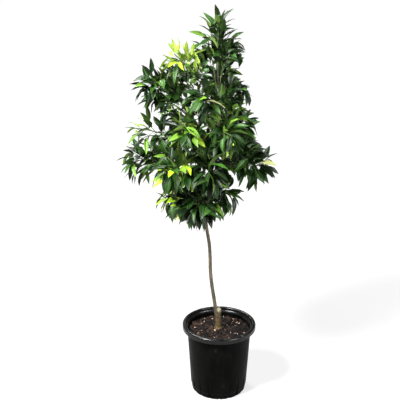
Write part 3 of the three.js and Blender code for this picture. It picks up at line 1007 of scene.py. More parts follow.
    def _with_slots(self, faces: list[Face], profile: list[Range], split: int) -> list[Face]:
        """Opens the drain slots through the wall.

        Args:
            faces: The skin's faces, the cells first, ring by ring.
            profile: The radius and height of each ring.
            split: How many of the rings are outside.

        Returns:
            The faces, with the slots' own walls in place of the cells inside them.
        """
        columns, near = self.columns, 0.01
        low, high = self.slot_lift - near, self.slot_top + near
        rows = {
            row
            for row, (here, ahead) in enumerate(zip(profile, profile[1:]))
            if here[0] > self.floor_edge and min(here[1], ahead[1]) > low and max(here[1], ahead[1]) < high
        }
        step = columns * self.slot_every / self.flutes
        half = round(self.slot_width / 2 / (2 * math.pi * self.foot_radius / columns))
        across = {k for k in range(columns) if abs((k + 0.5 + step / 2) % step - step / 2) < half}
        kept: list[Face] = []
        edges: dict[tuple[int, int], None] = {}
        for index, face in enumerate(faces):
            if index // columns in rows and index % columns in across:
                edges |= dict.fromkeys(zip(face, face[1:] + face[:1]))
            else:
                kept.append(face)
        border = [(a, b) for a, b in edges if (b, a) not in edges]
        inner_rows = sorted({a // columns for a, _ in border if a // columns >= split})

        def behind(index: int) -> int:
            """Gives the inside's point that faces a point of the outside, in the same column."""
            row, column = divmod(index, columns)
            return min(inner_rows, key=lambda k: abs(profile[k][1] - profile[row][1])) * columns + column

        for a, b in border:
            wall = tuple(dict.fromkeys((a, b, behind(b), behind(a))))
            if a // columns < split and len(wall) > 2:
                kept.append(wall)
        return kept


@dataclass
class PottingMix:
    """The potting mix: a dished bed of composted bark with loose chips, crumbs and perlite on it."""

    level: float = 245.0
    edge_drop: float = 4.0
    flat_radius: float = 26.0
    floor: float = 4.3
    foot_height: float = 6.0
    clearance: float = 0.3
    rings: int = 64
    columns: int = 160
    # How high and how wide its lumps are, how rough, how much finer each layer of them, and the layers
    roughness: float = 3.0
    lump: float = 17.0
    detail: tuple[float, float, int] = (0.9, 2.1, 5)
    # How far the loose bits stay below the edge and in from the pot's wall
    loose_below: float = 6.0
    loose_within: float = 12.0

    def _bed(self, pot: Pot) -> Mesh:
        """Makes the bed as one closed plug that fills the pot.

        Args:
            pot: The pot that holds it.

        Returns:
            The mesh, in metres.
        """
        clear = pot.wall + self.clearance
        reach = pot.wall_radius(self.level - self.edge_drop) - clear
        foot = pot.flute_floor - clear
        rows: list[tuple[float, float | None]] = [
            (foot - 3, self.floor),
            (foot, self.foot_height),
            (pot.wall_radius(pot.flute_height) - clear - 1, pot.flute_height),
            *[(reach * (1 - k / self.rings), None) for k in range(self.rings)],
        ]
        rings = []
        for radius, height in rows:
            turns = [2 * math.pi * k / self.columns for k in range(self.columns)]
            flat = [(radius * math.cos(turn), radius * math.sin(turn)) for turn in turns]
            rings.append([(x, y, self._surface(x, y, reach) if height is None else height) for x, y in flat])
        middle = self._surface(0.0, 0.0, reach)
        skin = closed_skin(np.array(rings), (0.0, 0.0, self.floor), (0.0, 0.0, middle))
        return new_mesh("bed", skin.points, skin.faces)

    def _surface(self, x: float, y: float, reach: float) -> float:
        """Gives the height of the loose surface at a place.

        Args:
            x: The place along X.
            y: The place along Y.
            reach: The surface's radius at the pot's wall.

        Returns:
            The height.
        """
        share = max(0.0, (math.hypot(x, y) - self.flat_radius) / (reach - self.flat_radius))
        lumps = noise.fractal(Vector((x, y, 0.0)) / self.lump, *self.detail)
        return self.level - self.edge_drop * share + self.roughness * lumps

    def build(self, pot: Pot) -> None:
        """Makes the bed and everything loose on it.

        Args:
            pot: The pot that holds it.
        """
        fines = CrumbFinish("composted_bark_fines", "#030202", "#120c0a", mottle=7.0)
        bed = finished("potting_mix_bed", self._bed(pot), [fines.material()])
        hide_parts("potting_mix")
        lowest = self.level - self.edge_drop - self.loose_below
        reach = pot.wall_radius(self.level) - self.loose_within
        for layer in (
            Scatter("bark_chips", (12.0, 27.0), 0.34, 7500.0, 9.0, 7, "#050303", "#33261f", tilt=40.0),
            Scatter("pale_bark_chips", (7.0, 15.0), 0.34, 900.0, 15.0, 23, "#5e4b3c", "#a8917a", tilt=34.0),
            Scatter("bark_crumbs", (3.0, 8.5), 0.6, 11000.0, 4.2, 41, "#040303", "#18110e"),
            Scatter("perlite", (3.0, 5.5), 0.8, 330.0, 20.0, 65, "#c9c5bb", "#f1efe8"),
        ):
            layer.build(bed, lowest, reach)


@dataclass
class Scatter:
    """One kind of loose crumb, strewn over the bed by Geometry Nodes.

    Its size is from the smallest to the largest, its density is for each square metre, and its spacing
    is the least distance between two crumbs.
    """

    name: str
    size: Range
    flatness: float
    density: float
    spacing: float
    seed: int
    dark: str
    light: str
    tilt: float = 24.0
    variants: int = 5
    rings: int = 3
    sides: int = 6
    # In shares of a crumb's length: its width, how far its points stand out, and its two ends
    width: Range = (0.5, 0.85)
    jut: Range = (0.78, 1.12)
    end: float = 0.45
    overhang: float = 7.0

    def _crumbs(self) -> Collection:
        """Makes a few rough crumbs of unit size, each of a few dozen faces.

        Returns:
            A collection that holds them.
        """
        stream = RandomStream(self.seed)
        collection = bpy.data.collections.new(self.name + "_shapes")
        for index in range(self.variants):
            stretch = (1.0, stream.between(self.width), self.flatness)
            rings = np.zeros((self.rings, self.sides, 3))
            for ring, k in np.ndindex(self.rings, self.sides):
                polar = math.pi * (ring + 1) / (self.rings + 1)
                turn = 2 * math.pi * (k + 0.5 * ((ring + 1) % 2)) / self.sides
                level, up = math.sin(polar), math.cos(polar)
                way = np.array((level * math.cos(turn), level * math.sin(turn), up))
                rings[ring, k] = way * stretch * stream.between(self.jut) / 2
            end = self.end * self.flatness
            skin = closed_skin(rings, (0, 0, end), (0, 0, -end))
            # The rings run from the top down, so each face is turned over
            faces = [(face[0], *reversed(face[1:])) for face in skin.faces]
            mesh = new_mesh(f"{self.name}_{index}", skin.points, faces, 1.0)
            collection.objects.link(bpy.data.objects.new(mesh.name, mesh))
        return collection

    def _tree(self) -> NodeTree:
        """Makes the Geometry Nodes tree that strews the crumbs.

        Returns:
            The tree.
        """
        tree = bpy.data.node_groups.new(self.name + "_scatter", "GeometryNodeTree")
        sockets = {
            "Bed": "Geometry", "Shapes": "Collection", "Density": "Float", "Spacing": "Float",
            "Smallest": "Float", "Largest": "Float", "Lowest Height": "Float", "Seed": "Int",
            "Least Turn": "Vector", "Most Turn": "Vector", "Finish": "Material",
        }
        for name, kind in sockets.items():
            tree.interface.new_socket(name=name, in_out="INPUT", socket_type="NodeSocket" + kind)
        tree.interface.new_socket(name="Crumbs", in_out="OUTPUT", socket_type="NodeSocketGeometry")
        node = partial(add_node, tree)
        given = node("NodeGroupInput").outputs
        place = node("ShaderNodeSeparateXYZ", {0: node("GeometryNodeInputPosition")})
        higher = {"A": place.outputs["Z"], "B": given["Lowest Height"]}
        above = node("FunctionNodeCompare", higher, data_type="FLOAT", operation="GREATER_THAN")
        part = {"Geometry": given["Bed"], "Selection": above}
        top = node("GeometryNodeSeparateGeometry", part, domain="FACE")
        spaced = {"Distance Min": given["Spacing"], "Density Max": given["Density"], "Seed": given["Seed"]}
        strewn = {"Mesh": top, **spaced}
        points = node("GeometryNodeDistributePointsOnFaces", strewn, distribute_method="POISSON")
        apart = {"Collection": given["Shapes"], "Separate Children": True, "Reset Children": True}
        turns = {"Min": given["Least Turn"], "Max": given["Most Turn"], "Seed": given["Seed"]}
        turned = node("FunctionNodeRandomValue", turns, data_type="FLOAT_VECTOR")
        sizes = {"Min": given["Smallest"], "Max": given["Largest"], "Seed": given["Seed"]}
        crumbs = {
            "Points": points,
            "Instance": node("GeometryNodeCollectionInfo", apart),
            "Pick Instance": True,
            "Rotation": node("FunctionNodeEulerToRotation", {0: turned}),
            "Scale": node("FunctionNodeRandomValue", sizes, data_type="FLOAT"),
        }
        real = node("GeometryNodeRealizeInstances", {0: node("GeometryNodeInstanceOnPoints", crumbs)})
        dressed = node("GeometryNodeSetMaterial", {"Geometry": real, "Material": given["Finish"]})
        node("NodeGroupOutput", {0: dressed})
        return tree

    def build(self, bed: Object, lowest: float, reach: float) -> None:
        """Strews the crumbs over the bed.

        Args:
            bed: The bed that they lie on.
            lowest: The height that they stay above.
            reach: How far from the pot's middle the middle of each may lie.
        """
        shapes = self._crumbs()
        finish = CrumbFinish("dry_" + self.name, self.dark, self.light, mottle=self.size[1] * 0.8).material()
        carrier = in_scene(self.name, bed.data.copy())
        modifier = carrier.modifiers.new("scatter", "NODES")
        modifier.node_group = self._tree()
        tilt = math.radians(self.tilt)
        values = {
            "Shapes": shapes,
            "Density": self.density,
            "Spacing": self.spacing * MM,
            "Smallest": self.size[0] * MM,
            "Largest": self.size[1] * MM,
            "Lowest Height": lowest * MM,
            "Least Turn": (-tilt, -tilt, 0.0),
            "Most Turn": (tilt, tilt, 2 * math.pi),
            "Seed": self.seed,
            "Finish": finish,
        }
        for socket in modifier.node_group.interface.items_tree:
            if socket.name in values:
                modifier[socket.identifier] = values[socket.name]
        mesh = plain_mesh(carrier)
        # Crumbs at the edge are drawn in, so that none goes into the pot's wall
        places = read_rows(mesh, "co")
        out = np.maximum(np.hypot(places[:, 0], places[:, 1]), SMALLEST)
        places[:, :2] *= np.minimum((reach + self.overhang) * MM / out, 1.0)[:, None]
        mesh.vertices.foreach_set("co", places.ravel())
        for shape in list(shapes.objects):
            bpy.data.objects.remove(shape)
        bpy.data.collections.remove(shapes)
        mesh.materials.clear()
        piece = finished(self.name, mesh, [finish], sharp=38.0)


@dataclass
class Trunk:
    """The grafted stem, thinning to the leader's tip, and the short rootstock that it grows out of."""

    points: tuple[Place, ...] = (
        (-2, 8, 245.3), (-15, 6, 340), (-32, 2, 464), (-38, 0, 590), (-53, 0, 700),
        (-48, 0, 800), (-27, 0, 900), (-14, 0, 1010), (-10, 0, 1130), (-12, 0, 1240),
    )
    foot_radius: float = 8.2
    collar: float = 0.05
    stem_radius: float = 7.0
    crown_height: float = 700.0
    crown_radius: float = 6.2
    tip_radius: float = 2.2
    sides: int = 8
    steps: int = 20
    stem_sides: int = 24
    stem_rings: int = 300
    scars: Swellings = Swellings(0.35, 41.0, 20.0, 14.0)
    # The share of the stem, from its foot, that has no scars
    scarless: float = 0.12
    stock_radius: float = 10.5
    stock_height: float = 88.0
    stock_offset: float = -2.0
    stock_lean: float = 3.0
    stock_sides: int = 36
    stock_rings: int = 60
    # From the ground up, in shares of the rootstock's radius and height: flare, waist, healed knob
    stock_outline: tuple[Range, ...] = (
        (1.48, 0.0), (1.17, 0.07), (1.0, 0.18), (0.92, 0.55), (1.04, 0.86), (0.78, 0.95), (0.3, 1.0)
    )
    callus_share: float = 0.82
    lump: float = 11.0
    lump_height: float = 0.9
    callus_lump_height: float = 2.5
    voxel: float = 1.1
    furrows: Ridges = Ridges(0.32, 2.6, 34.0)
    # Low rings round the limb, from the size of one along each axis and its height
    rings_size: Place = (9.0, 9.0, 7.0)
    rings_height: float = 0.25
    # The bark lies in the stem's own thickness, so the thin leader is left smoother, to this share
    least_relief: float = 0.2
    # Where the barks meet: shares of the limbs' radii, the stock's lead over the stem, the height up to
    # which the stock's bark goes all round, how far above its height its lumps may reach, and how far
    # and how finely the edge wanders
    bark_shares: Range = (0.92, 0.9)
    stock_lead: float = 1.0
    stock_round_height: float = 26.0
    knob_room: float = 3.0
    edge_wander: float = 1.5
    edge_grain: float = 5.0

    def __post_init__(self) -> None:
        """Measures the stem's line and the rootstock's."""
        self.line = StemLine(self.points)
        x, y, self.ground = self.points[0]
        foot = Vector((x + self.stock_offset, y, self.ground))
        self.stock_line = StockLine(foot, self.stock_lean, self.stock_height)

    def radius(self, share: Values) -> Values:
        """Gives the stem's radius at a share of its length."""
        radii = (self.foot_radius, self.stem_radius, self.crown_radius, self.tip_radius)
        return np.interp(share, (0.0, self.collar, self.line.share_at(self.crown_height), 1.0), radii)

    def solid(self, grow: float) -> BVHTree:
        """Makes the stem's plain solid, grown by a clearance."""
        return tube(self.line, self.radius(np.linspace(0, 1, self.steps + 1)) + grow, self.sides).solid()

    def _stem(self) -> Shape:
        """Makes the stem with its scars, where leaves have stood.

        Returns:
            The stem.
        """
        shares = np.arange(self.stem_rings + 1) / self.stem_rings
        scars = self.scars.on(shares * self.line.length) * (shares > self.scarless)
        return tube(self.line, self.radius(shares) + scars, self.stem_sides)

    def _rootstock(self) -> Shape:
        """Makes the rootstock: flared at the soil, and healed over in a knob at its cut top.

        Returns:
            The rootstock.
        """
        reaches, heights = zip(*self.stock_outline)
        shares = np.arange(self.stock_rings + 1) / self.stock_rings
        radii = np.interp(shares, heights, reaches) * self.stock_radius
        shape = tube(self.stock_line, radii, self.stock_sides)
        up = (shape.points[:, 2] - self.ground) / self.stock_height
        lumps = np.array([noise.noise(Vector(point) / self.lump) for point in shape.points])
        lumps *= np.where(up > self.callus_share, self.callus_lump_height, self.lump_height)
        outward = (shape.points - np.array(self.stock_line.start)) * (1, 1, 0)
        shape.points = shape.points + unit_rows(outward) * lumps[:, None]
        return shape

    def build(self) -> None:
        """Makes the trunk in one skin with the bark's relief, and lays its barks on it."""
        rough = joined("trunk", [self._stem(), self._rootstock()], [])
        weld = rough.modifiers.new("weld", "REMESH")
        weld.mode = "VOXEL"
        weld.voxel_size = self.voxel * MM
        soften = rough.modifiers.new("soften", "SMOOTH")
        soften.factor = 0.5
        soften.iterations = 4
        mesh = plain_mesh(rough)
        self._carve(mesh)
        self._deal_barks(mesh)
        barks = [
            BarkFinish("striped_citrus_bark", "#272114", "#514832", "#665d43"),
            BarkFinish("olive_rootstock_bark", "#2a1e02", "#55420e", "#251d0b", 4.0, line_length=16.0),
            BarkFinish("graft_callus", "#4a4232", "#6c624e", "#383124", 5.0, line_length=8.0),
        ]
        piece = finished("trunk_bark", mesh, [bark.material() for bark in barks])
        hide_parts("trunk")

    def _carve(self, mesh: Mesh) -> None:
        """Presses the bark's furrows into the trunk.

        Args:
            mesh: The trunk, in metres.
        """
        places, normals = read_rows(mesh, "co") / MM, read_rows(mesh, "normal")
        heights = np.linspace(self.ground, self.points[-1][2], 200)
        line = np.array([self.line.at(self.line.share_at(height) * self.line.length) for height in heights])
        grain = places.copy()
        for axis in (0, 1):
            grain[:, axis] -= np.interp(places[:, 2], heights, line[:, axis])
        ringed = np.array([noise.noise(Vector(place)) for place in grain / self.rings_size])
        room = np.clip(np.hypot(grain[:, 0], grain[:, 1]) / self.stem_radius, self.least_relief, 1.0)
        shift = (self.furrows.on(grain) + ringed * self.rings_height) * room
        mesh.vertices.foreach_set("co", ((places + normals * shift[:, None]) * MM).ravel())
        keep_grain(mesh, grain)

    def _deal_barks(self, mesh: Mesh) -> None:
        """Gives each face the bark of the limb that it belongs to.

        Args:
            mesh: The trunk, in metres.
        """
        stock_edge = self.stock_radius * self.bark_shares[0]
        stem_edge = self.foot_radius * self.bark_shares[1]
        for face in mesh.polygons:
            place = face.center / MM
            height = place.z - self.ground
            if height > self.stock_height + self.knob_room:
                continue
            stem = self.line.at(self.line.share_at(place.z) * self.line.length)
            to_stock = (place.xy - self.stock_line.at(height).xy).length - stock_edge
            to_stem = (place.xy - stem.xy).length - stem_edge
            wander = self.edge_wander * noise.noise(place / self.edge_grain)
            if to_stock + wander < to_stem + self.stock_lead or height < self.stock_round_height:
                callus = height > self.stock_height * self.callus_share + 2 * wander
                face.material_index = 2 if callus else 1


class Palette(Enum):
    """How the leaves of a spray are dealt out among the tones, from the deepest to the palest."""

    SHADE = (0.5, 0.36, 0.12, 0.02, 0.0, 0.0)
    SPIRE = (0.34, 0.4, 0.2, 0.06, 0.0, 0.0)
    OPEN = (0.2, 0.36, 0.3, 0.12, 0.02, 0.0)
    SUNLIT = (0.1, 0.28, 0.34, 0.22, 0.05, 0.01)
    TIPPED = (0.12, 0.2, 0.18, 0.12, 0.36, 0.02)
    FLUSH = (0.0, 0.0, 0.03, 0.12, 0.82, 0.03)

    def deal(self, share: float) -> Tone:
        """Deals out the tone that a number from 0 to 1 falls on."""
        return next((tone for tone, part in zip(Tone, accumulate(self.value)) if share < part), Tone.MID)


@dataclass(frozen=True)
class Branch:
    """One branch: a bare bough as far as its own space, and a leafy spray beyond.

    The heart is the middle of its leaves. Reach is how far the heart stands out from the root. What isn't
    given follows from the heart's height.
    """

    name: str
    bearing: float
    reach: float
    height: float
    palette: Palette = Palette.OPEN
    spread: float | None = None
    twig_spacing: float = 29.8
    fullness: float = 1.0
    leaf_scale: float | None = None
    slim: float = 1.0
    young_out_and_up: Range = (0.0, 0.0)
    twig_length: float | None = None
    hang: float | None = None
    tip_scale: float = 0.92

    @property
    def young_side(self) -> Vector:
        """The side of the spray that its young leaves stand on, or nothing where they are all over."""
        bearing, (out, up) = math.radians(self.bearing), self.young_out_and_up
        return Vector((out * math.cos(bearing), out * math.sin(bearing), up))


@dataclass(frozen=True)
class LeafRule:
    """How leaves stand on a shoot and how large they are, as the part's source has it."""

    length: Range = (76.0, 110.0)
    width_share: Range = (0.34, 0.41)
    widest: float = 0.42
    fold: float = 0.16
    arch: float = 0.055
    thick_share: float = 0.014
    middle: float = 0.6
    facing: float = 0.8
    first: float = 0.1
    spacing: float = 17.0
    angle: Range = (44.0, 68.0)
    least: float = 34.0
    wander: Range = (-25.0, 25.0)
    roll: Range = (-50.0, 50.0)
    droop: Range = (0.9, 0.35)
    turns: tuple[float, ...] = (0, 60, -60, 120, -120, 180)
    smaller: float = 0.76
    # The last leaf carries on from the shoot's tip, and this many stand at the tip of a main shoot
    tip_share: float = 0.975
    tip_angle: Range = (4.0, 14.0)
    tip_hang: float = 0.5
    tip_leaves: int = 3
    may_brush: bool = False
    # The share of the spray's ball that leaves keep to, and how far they may go beyond its flat walls
    reach: float = 1.0
    beyond: float = 0.0
    hang_share: float = 1.0

    def direction(self, forward: Vector, angle: float, around: float, hang: float) -> Vector:
        """Gives the way a leaf points: away from its twig and drooping, but never along the twig.

        Args:
            forward: The twig's direction.
            angle: How far the leaf turns from it.
            around: The bearing round the twig.
            hang: How far the leaf droops.

        Returns:
            The leaf's direction.
        """
        direction = turned_from(forward, angle, around)
        direction.z -= hang * (self.droop[0] - self.droop[1] * direction.z)
        direction.normalize()
        between = direction.angle(forward)
        least = math.radians(self.least)
        if between > least or angle < self.least:
            return direction
        axis = forward.cross(direction).normalized()
        return Quaternion(axis, least - between) @ direction

    def upward(self, direction: Vector, roll: float) -> Vector:
        """Gives the way a leaf's upper side faces: to the light, then turned by its roll.

        Args:
            direction: The way the leaf points.
            roll: Its roll.

        Returns:
            The way its upper side faces.
        """
        facing = Vector((direction.x * self.facing, direction.y * self.facing, 1.0))
        over = (facing - direction * facing.dot(direction)).normalized()
        return Quaternion(direction, math.radians(roll)) @ over


LEAF_UPPER_FACES = ((0, 1, 3), (1, 5, 3), (5, 2, 3), (2, 0, 3))
LEAF_FACES = (*LEAF_UPPER_FACES, (0, 4, 1), (1, 4, 5), (5, 4, 2), (2, 4, 0))


@dataclass
class Leaf:
    """One leaf in its place on the tree."""

    rule: LeafRule
    root: Vector
    direction: Vector
    roll: float
    length: float
    width: float
    at_tip: bool = False
    tone: Tone = Tone.MID

    def __post_init__(self) -> None:
        """Works out the leaf's middle and the points of its plain solid.

        They are the root, the two edges, the midrib's top and underside, and the tip.
        """
        rule, length = self.rule, self.length
        self.over = rule.upward(self.direction, self.roll)
        self.middle = self.root + self.direction * (length * rule.middle)
        side = self.direction.cross(self.over)
        arch, fold = rule.arch * length, rule.fold * self.width / 2
        thick = length * rule.thick_share
        widest = self.root + self.direction * (rule.widest * length)
        self.points = [
            self.root,
            widest + side * (self.width / 2) + self.over * (arch + fold),
            widest - side * (self.width / 2) + self.over * (arch + fold),
            widest + self.over * (arch + thick / 2),
            widest + self.over * (arch - thick / 2),
            self.root + self.direction * length - self.over * arch,
        ]

    @cached_property
    def solid(self) -> BVHTree:
        """The leaf's plain solid."""
        return BVHTree.FromPolygons(self.points, LEAF_FACES)

    def scaled(self, share: float, slim: float) -> Leaf:
        """Gives the same leaf at a share of its size, and slimmer."""
        return replace(self, length=self.length * share, width=self.width * share * slim)


@dataclass(frozen=True)
class Limb:
    """A bough, shoot or twig, with its radius at either end."""

    line: Arc
    ends: Range
    sides: int
    steps: int

    @cached_property
    def solid(self) -> BVHTree:
        """The limb's plain solid, which thins evenly from end to end."""
        radii = [lerp(self.ends, i / self.steps) for i in range(self.steps + 1)]
        return tube(self.line, radii, self.sides).solid()


@dataclass
class Space:
    """A spray's own space: a ball round its heart, less what is nearer to another's heart."""

    heart: Vector
    spread: float
    others: Iterable[Vector]
    margin: float

    def __post_init__(self) -> None:
        """Sets the flat walls, each half way to another heart, less the margin."""
        ways = [((other - self.heart).normalized(), (other + self.heart) * 0.5) for other in self.others]
        self.walls = [(normal, normal.dot(middle) - self.margin) for normal, middle in ways]

    def holds(self, points: Sequence[Vector], share: float = 1.0, beyond: float = 0.0) -> bool:
        """Tells whether every point is inside.

        Args:
            points: The points.
            share: The share of the ball's radius that they keep to.
            beyond: How far they may stand beyond the flat walls.

        Returns:
            Whether the space holds them.
        """
        if any((point - self.heart).length > self.spread * share for point in points):
            return False
        return all(normal.dot(point) < limit + beyond for normal, limit in self.walls for point in points)


@dataclass
class Spray:
    """The leafy part of a branch, or of the leader, within its own space."""

    branch: Branch
    space: Space
    line: Arc
    root_radius: float
    twig_length: float
    hang: float
    leaf_scale: float
    twigs: list[Limb] = field(default_factory=list)
    fine: list[Limb] = field(default_factory=list)
    leaves: list[Leaf] = field(default_factory=list)

    def tone_at(self, place: Vector, share: float) -> Tone:
        """Gives the tone of a leaf at a place: young leaves stand on the side that still grows."""
        grows = (place - self.space.heart).dot(self.branch.young_side) >= 0
        return (self.branch.palette if grows else Palette.OPEN).deal(share)

    def has_room(self, solid: BVHTree, own: Limb, solids: list[BVHTree], among_leaves: bool = False) -> bool:
        """Tells whether a shape runs into no leaf of the spray and no limb but its own.

        Args:
            solid: The shape.
            own: The twig that it stands on.
            solids: The limbs that it keeps clear of.
            among_leaves: Whether it may brush against leaves.

        Returns:
            Whether it has room.
        """
        if any(other.overlap(solid) for other in solids if other is not own.solid):
            return False
        return among_leaves or not any(leaf.solid.overlap(solid) for leaf in self.leaves)


@dataclass(frozen=True)
class TwigRule:
    """How twigs of one kind stand on the shoot that carries them, and how long and thick they are.

    The root is their radius where they leave it, or nothing where that follows from the shoot's own.
    """

    start: float
    end: float
    angle: Range
    wander: Range
    turns: tuple[float, ...]
    sag: Range
    least_hang: float
    length: Range
    tip: float
    root: float | None = None
    shorter: float = 0.0
    first: float = 0.0
    offset: float = 0.0


@dataclass
class Crown:
    """The boughs, twigs and leaves, grown by one rule from the branches' roots and hearts.

    The habit changes evenly from the lowest branches, the first of each range, to the highest.
    """

    trunk: Trunk
    root_height: Range = (700.0, 1130.0)
    heart_height: Range = (770.0, 1290.0)
    bend: Range = (-58.0, -16.0)
    beyond: Range = (44.0, 52.0)
    twigs: Range = (80.0, 62.0)
    spread: Range = (118.0, 88.0)
    hang: Range = (1.0, 0.0)
    leafy: float = 105.0
    bare: float = 26.0
    entry_step: float = 2.0
    gap: float = 0.3
    margin: float = 0.4
    bough_root_share: float = 0.62
    bough_least_root: float = 2.1
    bough_root_offset: float = 0.5
    bough_tip_share: float = 0.7
    bough_sides: int = 5
    bough_steps: int = 3
    shoot_sides: int = 4
    shoot_step: float = 28.0
    shoot_tip: float = 1.7
    twig_root_share: float = 0.55
    twig_sides: int = 3
    twig_steps: int = 2
    side_twigs: TwigRule = TwigRule(
        start=0.1,
        end=0.9,
        angle=(38.0, 58.0),
        wander=(-20.0, 20.0),
        turns=(0, 60, -60, 120, -120),
        sag=(-30.0, -8.0),
        least_hang=0.5,
        length=(0.8, 1.15),
        tip=0.9,
        shorter=0.45,
    )
    leaf_scale: Range = (0.9, 0.74)
    # Finer twigs, which the part's own solids leave out
    fine_twigs: TwigRule = TwigRule(
        start=0.15,
        end=0.9,
        angle=(35.0, 60.0),
        wander=(-30.0, 30.0),
        turns=(0, 90, -90, 180),
        sag=(-24.0, -4.0),
        least_hang=0.4,
        length=(24.0, 44.0),
        tip=0.5,
        root=0.75,
        first=0.5,
        offset=70.0,
    )
    fine_spacing: float = 14.0
    leaf: LeafRule = LeafRule()
    fine_leaf: LeafRule = LeafRule(
        (72.0, 100.0), first=0.25, spacing=14.0, may_brush=True, reach=0.94, beyond=24.0, hang_share=0.6
    )
    first_seed: int = 4100
    first_fine_seed: int = 9100
    blade_seed: int = 4099
    # Places on the side that the sun bleaches, where the nearest leaf is cream
    bleached: tuple[Place, ...] = ((12, -190, 1142), (172, -20, 910))
    # The leader goes straight on from the trunk's tip, so it has no bearing, reach or height of its own
    leader: Branch = Branch(
        "leader", 0, 0, 0, Palette.SPIRE, 152, 20.5, 0.5, 0.7, 0.85, twig_length=58, hang=-0.4, tip_scale=1.0
    )
    leader_length: float = 146.0
    leader_heart: float = 82.0
    leader_bend: float = 3.0
    # The meshes' sides, and the distance between their rings
    bough_mesh: tuple[int, float] = (14, 3.0)
    twig_mesh: tuple[int, float] = (8, 4.0)
    fine_mesh: tuple[int, float] = (5, 7.0)
    # Where a bough leaves the trunk: how far its collar stands out, and how soon that fades
    collar: Range = (0.9, 7.0)
    bough_scars: Swellings = Swellings(0.28, 23.0, 12.0, 5.0)
    bough_ridges: Ridges = Ridges(0.22, 2.2, 20.0)
    twig_nodes: Swellings = Swellings(0.12, 17.0, 8.5, 3.0)
    twig_point: float = 0.45
    branches: tuple[Branch, ...] = (
        Branch("top_right", 330, 26, 1285, Palette.SPIRE, spread=78, fullness=0.7),
        Branch("top_back", 115, 60, 1290, Palette.SPIRE, fullness=0.7),
        Branch("top_left", 213, 136, 1268, Palette.FLUSH, 97, 29.8, 1.0, 0.76, 0.62, (0.3, 1)),
        Branch("high_back", 85, 112, 1190, fullness=1.3),
        Branch("high_right", 0, 44, 1160, Palette.SPIRE, spread=86),
        Branch("high_back_left", 145, 155, 1200),
        Branch("high_front", 250, 120, 1150, Palette.SPIRE),
        Branch("high_left", 184, 196, 1176, spread=116),
        Branch("middle_right", 355, 74, 1045, spread=90),
        Branch("middle_back_right", 75, 140, 1060, fullness=1.3),
        Branch("middle_front_right", 280, 125, 1045),
        Branch("middle_back_left", 135, 175, 1065, fullness=0.6),
        Branch("middle_front_left", 235, 155, 1060, Palette.SUNLIT),
        Branch("middle_left", 190, 226, 1036, Palette.TIPPED, None, 46.5, 0.25, None, 0.72, (1, 1)),
        Branch("low_back", 100, 140, 930, fullness=1.3),
        Branch("low_right", 355, 150, 910, fullness=0.7),
        Branch("low_back_right", 45, 150, 928, fullness=1.3),
        Branch("low_front", 270, 130, 915, Palette.SPIRE),
        Branch("low_front_left", 225, 150, 915, Palette.SUNLIT),
        Branch("low_back_left", 145, 175, 925, fullness=0.6),
        Branch("low_left", 180, 222, 922, fullness=0.3, leaf_scale=0.96, slim=0.72),
        Branch("skirt_right", 350, 58, 796, spread=104, fullness=0.5),
        Branch("skirt_front", 255, 78, 788, Palette.SHADE),
        Branch("skirt_left", 190, 86, 785, Palette.TIPPED, spread=108, young_out_and_up=(1, -0.4)),
        Branch("skirt_back", 105, 85, 775, fullness=1.3),
    )

    def grow(self) -> None:
        """Works out every bough, then grows every spray in its own space."""
        stem = self.trunk.line
        ahead = stem.direction(stem.length)
        tip = stem.at(stem.length) + ahead * self.gap
        leader_line = Arc(tip, *angles_of(ahead), self.leader_bend, self.leader_length)
        found = [(leader_line, self.leader_heart)]
        found += [self._branch_line(index) for index in range(len(self.branches))]
        hearts = [line.at(to_heart) for line, to_heart in found]
        limbs = [self.trunk.solid(self.gap * 2)]
        self.sprays: list[Spray] = []
        self.boughs: list[Limb] = []
        for branch, (line, to_heart), heart in zip((self.leader, *self.branches), found, hearts):
            share = self._habit_share(branch.height)
            others = [other for other in hearts if other is not heart]
            space = Space(heart, branch.spread or lerp(self.spread, share), others, self.margin)
            root_radius = self.trunk.tip_radius
            if branch is not self.leader:
                entry = self._entry(space, line, to_heart)
                # The bough is as thick as the trunk allows where it leaves it
                at = stem.share_at(self._root_height(len(self.boughs)))
                root = max(self.trunk.radius(at) * self.bough_root_share, self.bough_least_root)
                ends = root, root * self.bough_tip_share
                bough = Limb(line.stretch(0.0, entry), ends, self.bough_sides, self.bough_steps)
                self.boughs.append(bough)
                limbs.append(replace(bough, ends=tuple(end + self.gap * 2 for end in bough.ends)).solid)
                line, root_radius = line.stretch(entry + self.gap, line.length), bough.ends[1]
            twigs = branch.twig_length or lerp(self.twigs, share)
            hang = lerp(self.hang, share) if branch.hang is None else branch.hang
            leaf_scale = branch.leaf_scale or lerp(self.leaf_scale, share)
            self.sprays.append(Spray(branch, space, line, root_radius, twigs, hang, leaf_scale))
        for index, spray in enumerate(self.sprays):
            self._grow_spray(spray, limbs, RandomStream(self.first_seed + index))
            self._grow_finer(spray, limbs, RandomStream(self.first_fine_seed + index))
        leaves = [leaf for spray in self.sprays for leaf in spray.leaves]
        for place in self.bleached:
            min(leaves, key=lambda leaf: (leaf.middle - Vector(place)).length).tone = Tone.PALE
        LOG.info("leaves: %d", len(leaves))

    def _habit_share(self, height: float) -> float:
        """Gives how high in the crown a heart stands, from 0 to 1."""
        low, high = self.heart_height
        return (height - low) / (high - low)

    def _root_height(self, index: int) -> float:
        """Gives the height at which a branch leaves the trunk."""
        return lerp(self.root_height, 1 - index / (len(self.branches) - 1))

